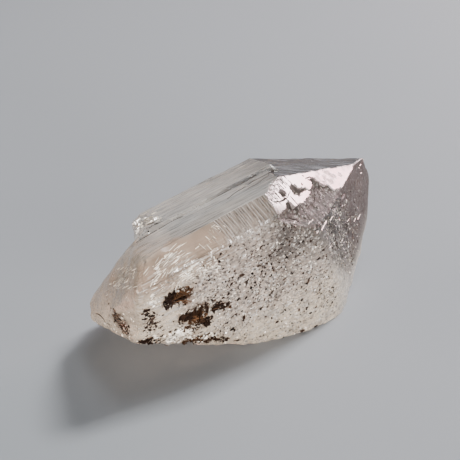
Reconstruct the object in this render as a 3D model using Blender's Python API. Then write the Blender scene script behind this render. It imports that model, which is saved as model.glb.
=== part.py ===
"""Quartz crystal, lying on a broken side: one prism with a rhombohedral point.

The solid is cut from space by flat faces. The natural faces of the prism and its point follow
from the direction of the crystal's long axis and the fixed angles of quartz; the broken faces
at the butt end, the back and the underside each have a bearing, a slope and a distance.
A second, thin plate grew parallel on the top face and is fused with the body in one piece.
Every face is then meshed on its own lattice and raised or lowered by its relief: growth
ridges across the prism, the etched lower half of the bright face, pits, ledges and hackly
fracture. Where faces meet, a point moves so that it suits the relief of all of them.
"""
import math

import bmesh
import bpy
import numpy as np
from mathutils import Vector, geometry, noise

MM = 0.001

# The crystal's long axis: bearing in plan from +X toward +Y, rise above level, and the turn of
# the first prism face about it, in degrees.
AXIS_BEARING = 34.0
AXIS_RISE = 14.0
AXIS_TURN = 45.0
PRISM_STEP = 60.0
RHOMB_TILT = 51.8

# The surface it rests on lies this far below the reference point, mm.
REST_DROP = 1.0

# Prism faces: number of steps round the axis and distance from the reference point, mm.
PRISM_FACES = {
    "etched_front": (-1, 14.6),
    "ridged_band": (0, 38.8),
    "smooth_top": (1, 29.2),
    "back": (2, 15.0),
    "back_under": (3, 7.2),
}
# The bright face of the point: steps round the axis and distance, mm.
RHOMB_FACES = {
    "bright_face": (0, 33.0),
}
# Other faces: bearing of the outward normal, its slope above level in degrees, distance in mm.
OTHER_FACES = {
    "steep_top": (59.0, 77.0, 34.0),
    "right_side": (-16.1, 12.5, 26.3),
    "right_strip": (-14.1, 10.0, 27.0),
    "right_back": (69.0, -58.5, 15.3),
    "top_back": (121.0, 41.8, 28.0),
    "foot_back": (-11.6, -13.3, 24.3),
    "foot": (-28.0, -4.5, 21.9),
    "butt_upper": (-163.4, 23.0, 34.6),
    "butt_lower": (-137.4, -16.7, 31.2),
    "butt_shoulder": (-179.0, 38.9, 31.6),
    "butt_back": (161.0, 35.5, 24.5),
    "butt_tip": (168.0, -5.5, 23.9),
    "under_left": (-124.0, -72.4, 3.4),
    "under_front": (-62.2, -27.1, 14.3),
    "under_tip": (-154.0, -74.0, 2.8),
    "rest": (0.0, -90.0, REST_DROP),
}
# The thin plate on the top face: how far it stands above the face, and its own edges.
PLATE_RISE = 0.7
PLATE_DEPTH = 6.0
PLATE_BACK_GROWTH = 0.55
PLATE_FACES = {
    "plate_front": (-68.0, 51.0, 28.35),
    "plate_left": (-171.0, -13.8, 15.4),
    "plate_bevel": (180.0, 43.8, 31.3),
    "plate_far": (32.0, 45.0, 30.4),
}

# Plan centre of the finished crystal in the reference frame, mm: it becomes the origin.
PLAN_CENTRE = (3.09, 0.76)

# Lattice: spacing along and across the axis on each face, mm.
LATTICE = {
    "ridged_band": (0.31, 2.4),
    "etched_front": (1.25, 1.25),
    "bright_face": (1.15, 1.15),
    "right_side": (1.3, 1.3),
    "smooth_top": (1.8, 1.8),
    "plate_top": (1.8, 1.8),
    "back": (1.3, 3.2),
    "back_under": (1.5, 3.2),
    "rest": (3.2, 3.2),
}
LATTICE_ELSE = (1.6, 1.6)

# Growth ridges across the prism, mm.
RIDGE_PITCH = 0.62
RIDGE_HEIGHT = 0.045
RIDGE_FADE = (-16.0, -4.0)
BACK_RIDGE_PITCH = 2.6
BACK_RIDGE_HEIGHT = 0.14

# Lower edge of the smooth part of the bright face, and how far the etched part lies below it.
ETCH_EDGE = ((-20.5, 6.1), (-14.3, 8.4), (-10.9, 7.3), (-5.9, 8.1), (0.3, 10.5), (7.5, 11.5), (11.8, 9.7))
ETCH_DROP = 0.55
GROWTH_STEP_PITCH = 3.0
GROWTH_STEP = 0.16

# Pits on the etched front face: along, across, radius and depth, mm.
PITS = (
    (-5.9, 26.2, 1.3, 0.45), (1.4, 21.4, 1.3, 0.5), (1.5, 24.8, 1.2, 0.35),
    (-1.5, 13.5, 1.4, 0.5), (-6.3, 13.6, 1.3, 0.45), (-8.9, 12.3, 1.4, 0.5),
    (-21.4, 29.6, 2.0, 0.7), (-17.4, 21.6, 2.6, 0.9), (-12.5, 20.9, 1.6, 0.6),
    (7.0, 17.0, 1.2, 0.35), (5.0, 12.0, 1.3, 0.4), (-12.0, 16.0, 1.3, 0.4),
)

# Low swelling at the foot of the etched front face: along, across, spread and height, mm.
SWELL = (9.0, 14.0, 10.0, 1.6)

# Ledges on the dull right side: along, across, direction of the step in degrees, drop and the
# length of the slope back up in mm.
LEDGES = ((6.0, 17.0, -150.0, 0.7, 9.0), (-8.0, 22.0, -165.0, 0.6, 7.0), (17.0, 10.0, -140.0, 0.5, 8.0))

# Chips out of edges: place in the reference frame, radius and depth, mm.
CHIPS = (
    (19.5, 28.5, 26.7, 2.2, 0.7),
    (34.0, 39.5, 23.0, 2.4, 0.6),
    (-15.5, -31.0, 8.0, 3.0, 1.1),
    (-8.5, -24.5, 4.2, 2.4, 0.7),
    (3.0, -17.2, 1.2, 2.2, 0.6),
    (14.5, -8.0, 0.6, 2.6, 0.5),
    (28.9, 9.5, 7.6, 3.0, 1.0),
    (-29.0, -19.5, 8.6, 3.2, 1.0),
)

MERGE = 1e-4


def unit(v):
    """The vector v at length one."""
    v = np.asarray(v, float)
    return v / np.linalg.norm(v)


def axis_frame():
    """The axis direction and two directions across it, the first of them level."""
    b, r = math.radians(AXIS_BEARING), math.radians(AXIS_RISE)
    axis = np.array([math.cos(b) * math.cos(r), math.sin(b) * math.cos(r), math.sin(r)])
    level = unit(np.cross(axis, (0, 0, 1)))
    return axis, level, np.cross(level, axis)


def crystal_normal(step, tilt=90.0):
    """Outward normal of the face that is so many steps round the axis and tilted from it."""
    axis, level, rising = axis_frame()
    a, t = math.radians(AXIS_TURN + PRISM_STEP * step), math.radians(tilt)
    return (level * math.cos(a) + rising * math.sin(a)) * math.sin(t) + axis * math.cos(t)


def compass_normal(bearing, slope):
    """Outward normal with a bearing from +X toward +Y and a slope above level."""
    b, s = math.radians(bearing), math.radians(slope)
    return np.array([math.cos(b) * math.cos(s), math.sin(b) * math.cos(s), math.sin(s)])


def body_planes():
    """Faces of the main crystal: name to outward normal and distance."""
    planes = {k: (crystal_normal(n), d) for k, (n, d) in PRISM_FACES.items()}
    planes.update({k: (crystal_normal(n, RHOMB_TILT), d) for k, (n, d) in RHOMB_FACES.items()})
    planes.update({k: (compass_normal(b, s), d) for k, (b, s, d) in OTHER_FACES.items()})
    return planes


def plate_planes(body):
    """Faces of the parallel plate that stands on the top face."""
    top, back = body["smooth_top"], body["back"]
    planes = {
        "plate_top": (top[0], top[1] + PLATE_RISE),
        "plate_back": (back[0], back[1] + PLATE_BACK_GROWTH),
        "plate_under": (-top[0], PLATE_DEPTH - top[1]),
    }
    planes.update({k: (compass_normal(b, s), d) for k, (b, s, d) in PLATE_FACES.items()})
    return planes


def cut_block(name, planes, reach=120.0):
    """A convex solid in mm: a large block cut by each face in turn, closed after each cut."""
    bm = bmesh.new()
    bmesh.ops.create_cube(bm, size=2 * reach)
    for normal, distance in planes.values():
        geom = bm.verts[:] + bm.edges[:] + bm.faces[:]
        cut = bmesh.ops.bisect_plane(bm, geom=geom, dist=1e-6, plane_co=Vector(normal) * distance,
                                     plane_no=Vector(normal), clear_outer=True)
        edges = [e for e in cut["geom_cut"] if isinstance(e, bmesh.types.BMEdge)]
        if edges:
            bmesh.ops.contextual_create(bm, geom=edges)
    bmesh.ops.remove_doubles(bm, verts=bm.verts, dist=MERGE)
    bmesh.ops.recalc_face_normals(bm, faces=bm.faces)
    mesh = bpy.data.meshes.new(name)
    bm.to_mesh(mesh)
    bm.free()
    obj = bpy.data.objects.new(name, mesh)
    bpy.context.scene.collection.objects.link(obj)
    return obj


def joined_polygons(body, plate):
    """Corner points and polygons of the body and the plate fused into one solid."""
    a, b = cut_block("body_block", body), cut_block("plate_block", plate)
    union = a.modifiers.new("grown_together", "BOOLEAN")
    union.operation = "UNION"
    union.solver = "EXACT"
    union.object = b
    bpy.context.view_layer.update()
    result = a.evaluated_get(bpy.context.evaluated_depsgraph_get()).to_mesh()
    points = np.array([v.co[:] for v in result.vertices])
    polygons = [tuple(p.vertices) for p in result.polygons]
    a.to_mesh_clear()
    for obj in (a, b):
        mesh = obj.data
        bpy.data.objects.remove(obj)
        bpy.data.meshes.remove(mesh)
    return points, polygons


def group_by_face(points, polygons, planes):
    """Polygons sorted by the named face they lie on."""
    names = list(planes)
    normals = np.array([planes[k][0] for k in names])
    distances = np.array([planes[k][1] for k in names])
    groups = {}
    for poly in polygons:
        corner = points[list(poly)]
        area = sum((np.cross(corner[i] - corner[0], corner[i + 1] - corner[0])
                    for i in range(1, len(poly) - 1)), np.zeros(3))
        miss = np.abs(corner @ normals.T - distances).max(axis=0) + 5 * (normals @ unit(area) < 0.9)
        groups.setdefault(names[int(miss.argmin())], []).append(poly)
    return groups


def outline(polys):
    """Edges used once by a face's polygons, in the direction the polygons run."""
    directed = [(p[i], p[(i + 1) % len(p)]) for p in polys for i in range(len(p))]
    have = set(directed)
    return [e for e in directed if (e[1], e[0]) not in have]


def face_axes(normal):
    """Two directions in a face: along the crystal's axis, and across it."""
    axis = axis_frame()[0]
    along = axis - (axis @ normal) * normal
    if np.linalg.norm(along) < 0.05:
        along = np.cross(normal, (0, 0, 1))
    along = unit(along)
    return along, np.cross(normal, along)


def inside(point, a, b):
    """Whether a 2-D point lies inside the outline with edges a to b, by crossings."""
    up = (a[:, 1] > point[1]) != (b[:, 1] > point[1])
    with np.errstate(divide="ignore", invalid="ignore"):
        x = a[:, 0] + (point[1] - a[:, 1]) / (b[:, 1] - a[:, 1]) * (b[:, 0] - a[:, 0])
    return bool((up & (point[0] < x)).sum() % 2)


def gap_to(point, a, b):
    """Distance from a 2-D point to the nearest edge a to b."""
    d = b - a
    t = np.clip(((point - a) * d).sum(1) / np.maximum((d * d).sum(1), 1e-12), 0, 1)
    return np.linalg.norm(a + t[:, None] * d - point, axis=1).min()


def crystal_mesh(planes, points, groups):
    """Points, triangles and each point's faces, with a lattice laid over every face."""
    coords = [p for p in points]
    owners = [set() for _ in coords]
    edge_faces = {}
    outlines = {k: outline(v) for k, v in groups.items()}
    for name, edges in outlines.items():
        for e in edges:
            edge_faces.setdefault(frozenset(e), []).append(name)
    split = {}
    for key, names in edge_faces.items():
        a, b = sorted(key)
        step = min(min(LATTICE.get(n, LATTICE_ELSE)) for n in names)
        count = max(1, round(np.linalg.norm(points[b] - points[a]) / max(step, 0.31)))
        chain = [a]
        for i in range(1, count):
            coords.append(points[a] + (points[b] - points[a]) * i / count)
            owners.append(set())
            chain.append(len(coords) - 1)
        chain.append(b)
        split[key] = chain
    triangles = []
    for name, edges in outlines.items():
        normal = planes[name][0]
        along, across = face_axes(normal)
        step = np.array(LATTICE.get(name, LATTICE_ELSE))
        rim, rim_edges = [], []
        for a, b in edges:
            chain = split[frozenset((a, b))]
            chain = chain if chain[0] == a else chain[::-1]
            rim_edges += list(zip(chain[:-1], chain[1:]))
        rim = sorted({i for e in rim_edges for i in e})
        place = {g: i for i, g in enumerate(rim)}
        flat = np.array([[coords[g] @ along, coords[g] @ across] for g in rim]) / step
        ea = np.array([flat[place[a]] for a, b in rim_edges])
        eb = np.array([flat[place[b]] for a, b in rim_edges])
        low, high = flat.min(0), flat.max(0)
        ids = list(rim)
        pts = [Vector(p) for p in flat]
        origin = normal * planes[name][1]
        rows = int((high[1] - low[1]) / 0.87) + 2
        cols = int(high[0] - low[0]) + 3
        for r in range(rows):
            for c in range(cols):
                p = np.array([math.floor(low[0]) + c + 0.5 * (r % 2), low[1] + 0.87 * r])
                if inside(p, ea, eb) and gap_to(p, ea, eb) > 0.5:
                    coords.append(origin + along * (p[0] * step[0] - origin @ along)
                                  + across * (p[1] * step[1] - origin @ across))
                    owners.append(set())
                    ids.append(len(coords) - 1)
                    pts.append(Vector(p))
        links = [(place[a], place[b]) for a, b in rim_edges]
        made = geometry.delaunay_2d_cdt(pts, links, [], 0, 1e-7)
        origin_of = [o[0] for o in made[3]]
        for tri in made[2]:
            t = [origin_of[i] for i in tri]
            p, q, r = (np.array(pts[i]) for i in t)
            size = abs((q[0] - p[0]) * (r[1] - p[1]) - (q[1] - p[1]) * (r[0] - p[0]))
            if size > 1e-4 and inside((p + q + r) / 3, ea, eb):
                triangles.append(tuple(ids[i] for i in t))
                for i in t:
                    owners[ids[i]].add(name)
    return np.array(coords), triangles, owners


def hackle(p, size, seed):
    """Smooth random height between about -1 and 1 with lumps of the given size."""
    q = Vector(p) / size + Vector((seed * 3.7, seed * 1.3, seed * 2.9))
    return noise.noise(q)


def triangle_wave(x):
    """Wave between -1 and 1 with straight flanks and a period of one."""
    return 1 - 4 * abs(x - math.floor(x) - 0.5)


def smooth_step(x):
    """0 below 0, 1 above 1, and a smooth rise between."""
    x = min(max(x, 0.0), 1.0)
    return x * x * (3 - 2 * x)


def etch_level(u):
    """Across position of the lower edge of the smooth part of the bright face."""
    xs = [p[0] for p in ETCH_EDGE]
    ys = [p[1] for p in ETCH_EDGE]
    return float(np.interp(u, xs, ys))


def relief(name, p, u, v):
    """Height of a face above its plane at the point p, in mm, outward."""
    if name == "rest":
        return 0.0
    if name == "ridged_band":
        fade = smooth_step((u - RIDGE_FADE[0]) / (RIDGE_FADE[1] - RIDGE_FADE[0]))
        ridges = RIDGE_HEIGHT * triangle_wave(u / RIDGE_PITCH) * (0.05 + 0.95 * fade)
        return ridges + 0.12 * hackle(p, 5.0, 1) * (1 - fade)
    if name == "bright_face":
        below = smooth_step((etch_level(u) - v) / 0.8 + 0.5)
        steps = GROWTH_STEP * smooth_step(triangle_wave(u / GROWTH_STEP_PITCH)) * smooth_step(-u / 8.0)
        return -steps - below * (ETCH_DROP - 0.3 * hackle(p, 3.0, 2))
    if name == "etched_front":
        height = 0.14 * hackle(p, 3.2, 3) + 0.1 * hackle(p, 9.0, 4)
        swell = math.exp(-((u - SWELL[0]) / SWELL[2]) ** 2) * smooth_step((SWELL[1] - v) / SWELL[2])
        height += SWELL[3] * swell
        for pu, pv, radius, depth in PITS:
            r = math.hypot(u - pu, v - pv) / radius
            if r < 1:
                height -= depth * (1 - r * r)
        return height
    if name in ("right_side", "right_strip"):
        height = 0.22 * hackle(p, 4.5, 5) + 0.08 * hackle(p, 2.4, 6)
        for pu, pv, way, drop, back in LEDGES:
            a = math.radians(way)
            past = (u - pu) * math.cos(a) + (v - pv) * math.sin(a)
            aside = (v - pv) * math.cos(a) - (u - pu) * math.sin(a)
            near = math.exp(-(aside / 5.0) ** 2)
            height -= drop * near * smooth_step(past / 1.5 + 0.5) * (1 - smooth_step(past / back))
        return height
    if name in ("back", "back_under", "plate_back"):
        return BACK_RIDGE_HEIGHT * triangle_wave(u / BACK_RIDGE_PITCH) + 0.12 * hackle(p, 8.0, 7)
    if name in ("smooth_top", "plate_top", "steep_top"):
        return 0.05 * hackle(p, 9.0, 8)
    if name in ("under_left", "under_front", "under_tip", "foot", "foot_back", "right_back"):
        return 0.45 * hackle(p, 5.0, 9) + 0.25 * hackle(p, 2.4, 10)
    if name in ("butt_upper", "butt_lower", "butt_tip", "butt_back", "butt_shoulder"):
        return 0.25 * hackle(p, 6.0, 11) + 0.1 * hackle(p, 2.6, 12)
    return 0.1 * hackle(p, 4.0, 13)


def raise_relief(coords, owners, planes):
    """Points moved so that each one suits the relief of every face it lies on."""
    moved = coords.copy()
    axes = {k: face_axes(planes[k][0]) for k in planes}
    for i, names in enumerate(owners):
        names = sorted(names)
        if not names:
            continue
        p = coords[i]
        normals = np.array([planes[k][0] for k in names])
        heights = np.array([relief(k, p, p @ axes[k][0], p @ axes[k][1]) for k in names])
        gram = normals @ normals.T + 0.04 * np.eye(len(names))
        moved[i] = p + normals.T @ np.linalg.solve(gram, heights)
        if "rest" in names:
            moved[i][2] = -REST_DROP
        else:
            moved[i][2] = max(moved[i][2], 0.25 - REST_DROP)
    return moved


def chip_edges(coords, owners):
    """Shallow dents where an edge or a corner has lost a flake."""
    middle = np.array([PLAN_CENTRE[0], PLAN_CENTRE[1], 16.0])
    moved = coords.copy()
    for x, y, z, radius, depth in CHIPS:
        d = np.linalg.norm(coords - (x, y, z), axis=1) / radius
        weight = np.where(d < 1, (1 - d * d) ** 2, 0.0) * depth
        inward = middle - coords
        inward /= np.linalg.norm(inward, axis=1)[:, None]
        moved += inward * weight[:, None]
    flat = np.array(["rest" in o for o in owners])
    moved[flat, 2] = -REST_DROP
    return moved


def quartz_material():
    """Clear quartz with a faint warm tint."""
    material = bpy.data.materials.new("clear_quartz")
    material.use_nodes = True
    shader = material.node_tree.nodes["Principled BSDF"]
    shader.inputs["Base Color"].default_value = (0.62, 0.56, 0.52, 1.0)
    shader.inputs["Roughness"].default_value = 0.12
    shader.inputs["Metallic"].default_value = 0.0
    shader.inputs["IOR"].default_value = 1.544
    shader.inputs["Transmission Weight"].default_value = 0.6
    return material


def build_crystal():
    """The quartz crystal as one closed solid, with the middle of its underside at the origin."""
    body = body_planes()
    plate = plate_planes(body)
    planes = dict(body)
    planes.update(plate)
    points, polygons = joined_polygons(body, plate)
    groups = group_by_face(points, polygons, planes)
    coords, triangles, owners = crystal_mesh(planes, points, groups)
    moved = chip_edges(raise_relief(coords, owners, planes), owners)
    used = sorted({i for t in triangles for i in t})
    place = {g: i for i, g in enumerate(used)}
    solid = (moved[used] - (PLAN_CENTRE[0], PLAN_CENTRE[1], -REST_DROP)) * MM
    mesh = bpy.data.meshes.new("quartz_crystal")
    mesh.from_pydata([tuple(p) for p in solid], [], [tuple(place[i] for i in t) for t in triangles])
    bm = bmesh.new()
    bm.from_mesh(mesh)
    bmesh.ops.recalc_face_normals(bm, faces=bm.faces)
    bm.to_mesh(mesh)
    bm.free()
    mesh.materials.append(quartz_material())
    crystal = bpy.data.objects.new("quartz_crystal", mesh)
    bpy.context.scene.collection.objects.link(crystal)
    print("triangles", len(triangles), "low", solid.min(0), "high", solid.max(0))
    return crystal


def main():
    """Clears the scene and builds the crystal."""
    for obj in list(bpy.data.objects):
        bpy.data.objects.remove(obj)
    build_crystal()


main()
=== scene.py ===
"""Smoky quartz crystal dressed over its CAD solid: polished, ridged, etched and broken faces,
iron crusts, dark grains, dark cracks and painted groove shade, on a plain pale floor in soft studio light.

The crystal's faces are the same planes as those of its solid. Each face is a height field over
two coordinates, u along the crystal's axis and v across it, laid on a lattice fine enough for
its growth ridges, etch facets and chips. Sizes and places are in mm unless a line says otherwise.
"""
import functools
import itertools
import math

import bmesh
import bpy
import numpy as np
from bpy.props import FloatProperty, FloatVectorProperty, IntProperty, PointerProperty
from bpy.types import Operator, Panel, PropertyGroup
from mathutils import Matrix, Vector, geometry


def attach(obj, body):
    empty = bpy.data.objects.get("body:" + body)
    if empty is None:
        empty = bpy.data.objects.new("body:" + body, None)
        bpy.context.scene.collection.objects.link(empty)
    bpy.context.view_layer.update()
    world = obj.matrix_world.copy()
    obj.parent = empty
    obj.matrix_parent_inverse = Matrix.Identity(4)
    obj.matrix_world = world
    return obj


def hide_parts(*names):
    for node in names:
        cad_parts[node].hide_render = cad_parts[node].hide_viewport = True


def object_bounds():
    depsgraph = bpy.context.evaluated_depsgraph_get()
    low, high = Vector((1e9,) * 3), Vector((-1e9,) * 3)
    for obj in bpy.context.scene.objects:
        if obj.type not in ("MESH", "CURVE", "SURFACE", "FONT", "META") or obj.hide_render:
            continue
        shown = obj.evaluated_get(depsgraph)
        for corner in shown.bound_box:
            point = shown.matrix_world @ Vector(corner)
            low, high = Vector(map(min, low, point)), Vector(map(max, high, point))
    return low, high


bl_info = {
    "name": "Quartz crystal",
    "version": (1, 0, 0),
    "blender": (4, 5, 0),
    "location": "View3D > Sidebar > Quartz",
    "description": "Builds the looks of a natural quartz crystal around its CAD solid",
    "category": "Add Mesh",
}

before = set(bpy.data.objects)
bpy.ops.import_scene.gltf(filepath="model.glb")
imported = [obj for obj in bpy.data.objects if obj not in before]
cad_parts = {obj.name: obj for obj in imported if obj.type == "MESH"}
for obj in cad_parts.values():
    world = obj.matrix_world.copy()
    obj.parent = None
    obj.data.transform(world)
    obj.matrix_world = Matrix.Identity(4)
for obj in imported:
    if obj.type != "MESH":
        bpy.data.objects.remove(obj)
CAD_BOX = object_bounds()
MM = 0.001
NODE = "quartz_crystal"
# Seeds of the random draws for specks, facets and iron.
SPECK_SEED, FACET_SEED, IRON_SEED = 11, 13, 12
# Quartz: index of refraction, transmission, and what it absorbs per metre.
QUARTZ_IOR, CLEARNESS, ABSORBED, ABSORPTION = 1.544, 0.54, (0.84, 0.69, 0.55, 1.0), 30.0

# Direction of the crystal's axis and the fixed angles of quartz, in degrees.
AXIS_BEARING, AXIS_RISE, AXIS_TURN, PRISM_STEP, RHOMB_TILT = 34.0, 14.0, 45.0, 60.0, 51.8
# The resting plane lies this far below the reference point, and the plan centre is here.
REST_DROP, PLAN_CENTRE = 1.0, (3.09, 0.76)
# Prism faces: steps round the axis and distance.
PRISM_FACES = {
    "etched_front": (-1, 14.6), "ridged_band": (0, 38.8), "smooth_top": (1, 29.2), "back": (2, 15),
    "back_under": (3, 7.2),
}
# Other faces: bearing of the outward normal and its slope in degrees, and distance.
OTHER_FACES = {
    "steep_top": (59.0, 77.0, 34.0), "right_side": (-16.1, 12.5, 26.3),
    "right_strip": (-14.1, 10.0, 27.0), "right_back": (69.0, -58.5, 15.3),
    "top_back": (121.0, 41.8, 28.0), "foot_back": (-11.6, -13.3, 24.3),
    "foot": (-28.0, -4.5, 21.9), "butt_upper": (-163.4, 23.0, 34.6),
    "butt_lower": (-137.4, -16.7, 31.2), "butt_shoulder": (-179.0, 38.9, 31.6),
    "butt_back": (161.0, 35.5, 24.5), "butt_tip": (168.0, -5.5, 23.9),
    "under_left": (-124.0, -72.4, 3.4), "under_front": (-62.2, -27.1, 14.3),
    "under_tip": (-154.0, -74.0, 2.8), "rest": (0.0, -90.0, REST_DROP),
}
BRIGHT_DISTANCE = 33.0
# The thin plate on the top face.
PLATE_RISE, PLATE_DEPTH, PLATE_BACK_GROWTH = 0.7, 6.0, 0.55
PLATE_FACES = {
    "plate_front": (-68, 51, 28.35), "plate_left": (-171, -13.8, 15.4),
    "plate_bevel": (180, 43.8, 31.3), "plate_far": (32, 45, 30.4),
}

# Lattice spacing along and across the axis.
LATTICE = {
    "ridged_band": (0.11, 0.9), "etched_front": (0.34, 0.34), "bright_face": (0.22, 0.22),
    "right_side": (0.3, 0.3), "right_strip": (0.45, 0.45), "smooth_top": (0.7, 0.36),
    "plate_top": (0.7, 0.36), "steep_top": (0.5, 0.36), "back": (0.24, 1.1),
    "back_under": (0.24, 1.1), "plate_back": (0.24, 1.1), "rest": (1.3, 1.3),
    "butt_upper": (0.38, 0.38), "butt_lower": (0.38, 0.38), "under_front": (0.42, 0.42),
    "foot": (0.4, 0.4),
}
LATTICE_ELSE = (0.55, 0.55)
# Broken and etched faces run into each other over rounded edges: how sharply, per mm. Every
# other edge stays crisp.
ROUNDING = {
    "etched_front": 1.1, "right_side": 1.5, "right_strip": 2.6, "right_back": 1.6, "foot": 2.4,
    "foot_back": 2.4, "butt_upper": 0.9, "butt_lower": 1.5, "butt_tip": 3, "butt_back": 1.8,
    "butt_shoulder": 1.8, "under_left": 1.8, "under_front": 1.2, "under_tip": 1.6,
    "back_under": 1.6, "top_back": 1.6,
}
SOFT_PAIRS = (("ridged_band", "etched_front"), ("ridged_band", "butt_upper"),
              ("ridged_band", "butt_lower"), ("bright_face", "etched_front"),
              ("smooth_top", "butt_shoulder"), ("smooth_top", "butt_upper"))
PAIR_ROUNDING = 0.95
# Keeps the least squares steady where several faces move one point.
EASE = 0.04

# Faces whose small facets are shaded flat.
FACETED = ("ridged_band", "etched_front", "right_side", "right_strip", "bright_face", "plate_left",
           "plate_bevel")
TOPS = ("smooth_top", "plate_top", "steep_top")
BACKS = ("back", "back_under", "plate_back")
UNDERS = ("under_left", "under_front", "under_tip", "foot", "foot_back", "right_back")
BROKEN = ("plate_left", "plate_bevel")
BUTTS = ("butt_upper", "butt_lower", "butt_tip", "butt_back", "butt_shoulder")

# Edge of the polished part of the bright face, and patches etched into it, in u, v.
POLISHED = (
    (-22.5, 11.3), (-22, 16), (36, 17), (32, 15.7), (27.4, 13.5), (19.2, 10.5), (17.3, 9.9),
    (14.7, 9.9), (11.4, 9.4), (10.5, 10.9), (7.2, 11.4), (7, 12.2), (6.3, 12.9), (6.3, 13.5),
    (1.4, 13.2), (3.6, 12.2), (2.3, 11.4), (-0.3, 10.5), (-1, 9.7), (-4.9, 8.4), (-7.8, 7.9),
    (-9.7, 7.6), (-11.6, 7.3), (-13.3, 9.1), (-15.2, 8.3), (-16.4, 7.5), (-19.9, 6.1), (-20.9, 6.7),
    (-22, 8.3),
)
ETCHED_PATCHES = (
    ((-12.9, 12.7), (-13.3, 11.9), (-11.8, 11.2), (-12.1, 10.2), (-14.3, 9.9), (-14.9, 11)),
    ((-8.6, 12.2), (-6.6, 12.6), (-5.2, 12.2), (-4.3, 11.4), (-2, 11.3), (0.2, 10.5), (-2.4, 10.7),
     (-4.6, 10.3), (-7.1, 9.5), (-8.7, 10.2), (-9, 11.5)),
)
# Lower edge of the etched part across the bright face, at places along it.
ETCH_ALONG, ETCH_ACROSS = (-21, -15, -8, 1, 8, 15, 30), (6.5, 8.0, 8.0, 11.0, 12.0, 10.5, 14.5)
# Clouds of smoky or milky quartz: face, u, v, radius, colour and strength.
CLOUDS = (
    ("ridged_band", -26.3, 6.3, 3.4, "smoky", 0.85), ("ridged_band", -13.6, 7.8, 4, "smoky", 0.95),
    ("ridged_band", -18.5, 10.5, 3.2, "smoky", 0.8), ("butt_upper", -3.6, -18, 3, "smoky", 0.5),
    ("etched_front", -27.3, 31.6, 2.6, "milky", 0.95),
    ("etched_front", -19.5, 33, 2.6, "milky", 0.5), ("under_front", -18.9, 20.8, 3, "milky", 1),
)
# Iron stains: face to strength, reach, how drawn out along, seed, and each one's u, v, radius.
RUST_SPOTS = {
    "etched_front": (1.0, 1.5, 1.0, 51, (
        (-22.8, 30, 2), (-20.2, 29.3, 2), (-20.2, 22.8, 2), (-16.7, 22.2, 2.6), (-15.6, 18.8, 1.6),
        (-12.8, 21.6, 1.6))),
    "under_front": (1.0, 1.4, 1.6, 53, ((-17.5, 18, 2.2), (-13.2, 15.7, 2), (-26.2, 22.3, 1.6))),
    "butt_lower": (0.8, 1.5, 1.0, 52, ((0.6, 24.2, 2.2),)),
}
# Pits on the etched front: along, across, radius and depth.
PITS = (
    (-5.9, 26.2, 1.3, 0.45), (1.4, 21.4, 1.3, 0.5), (1.5, 24.8, 1.2, 0.35), (-1.5, 13.5, 1.4, 0.5),
    (-6.3, 13.6, 1.3, 0.45), (-8.9, 12.3, 1.4, 0.5), (-21.4, 29.6, 2, 0.7), (-17.4, 21.6, 2.6, 0.9),
    (-12.5, 20.9, 1.6, 0.6), (7, 17, 1.2, 0.35), (5, 12, 1.3, 0.4), (-12, 16, 1.3, 0.4),
)
# The swelling of the etched front: u, v, width and height.
SWELL = (9.0, 14.0, 10.0, 1.6)
# Ledges on the dull right side: u, v, heading in degrees, drop, and how far it takes to rise again.
LEDGES = (
    (6, 17, -150, 0.7, 9), (-8, 22, -165, 0.6, 7), (17, 10, -140, 0.5, 8),
)
# Small terraces there, parallel to the bright face: u, v, turn of the long side in degrees, half
# length and width.
TERRACES = (
    (-8.2, 23.6, 30, 1.6, 0.7), (-14.6, 26.8, 15, 1.4, 0.6), (27.6, 6.6, 35, 1.7, 0.8),
    (11.5, 17.3, -20, 2.2, 0.4), (21, 15.6, -15, 2.2, 0.4), (-5.8, 19.6, 20, 1.5, 0.6),
    (-12.6, 21, 10, 1.2, 0.5), (33, 11.6, 60, 1.4, 0.5),
)
# Chips out of edges: place in the reference frame, radius and depth.
CHIPS = (
    (19.5, 28.5, 26.7, 2.2, 0.7), (34, 39.5, 23, 2.4, 0.6), (-15.5, -31, 8, 3, 1.1),
    (-8.5, -24.5, 4.2, 2.4, 0.7), (3, -17.2, 1.2, 2.2, 0.6), (14.5, -8, 0.6, 2.6, 0.5),
    (28.9, 9.5, 7.6, 3, 1), (-29, -19.5, 8.6, 3.2, 1), (20.4, 22.4, 27.6, 1.6, 0.6),
)

# Larger grains on the etched front: u, v, size.
BIG_SPECKS = (
    (-5.9, 26.2, 0.5), (1.4, 21.4, 0.46), (1.5, 24.8, 0.36), (-1.5, 13.5, 0.42), (-6.3, 13.6, 0.34),
    (-8.9, 12.3, 0.42), (-7.3, 20.6, 0.3), (-3.4, 17, 0.3), (4.4, 19, 0.28), (-11.2, 33.4, 0.35),
    (-13.9, 29.9, 0.4), (9.6, 17.5, 0.3), (-4.2, 21.8, 0.34), (-6.8, 24.6, 0.24), (2.2, 28.6, 0.24),
)
# Fields of smaller grains: face, number, middle and spread along, middle and spread across, least
# size and how much larger some are.
SPECK_FIELDS = (
    ("under_front", (
        (230, -25.2, 1.2, 28.8, 2.9, 0.06, 0.26), (110, -15, 5, 19, 4, 0.06, 0.16),
        (150, -19.5, 2.4, 20.6, 1.5, 0.07, 0.24))),
    ("etched_front", ((60, -22, 1.6, 20.5, 1.4, 0.06, 0.2),)),
    ("butt_lower", ((70, 0.6, 1.8, 24, 1.5, 0.07, 0.24),)),
    ("right_side", ((560, 9, 10, 10, 7, 0.05, 0.15),)),
    ("etched_front", ((170, 15, 5, 9, 4, 0.05, 0.2),)),
    ("right_strip", ((60, 28, 9, 5, 3, 0.05, 0.12),)),
    ("bright_face", ((60, 2, 8, 6.5, 3, 0.05, 0.16),)),
    ("etched_front", ((120, -17, 5, 24, 5, 0.05, 0.16),)),
)
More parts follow.
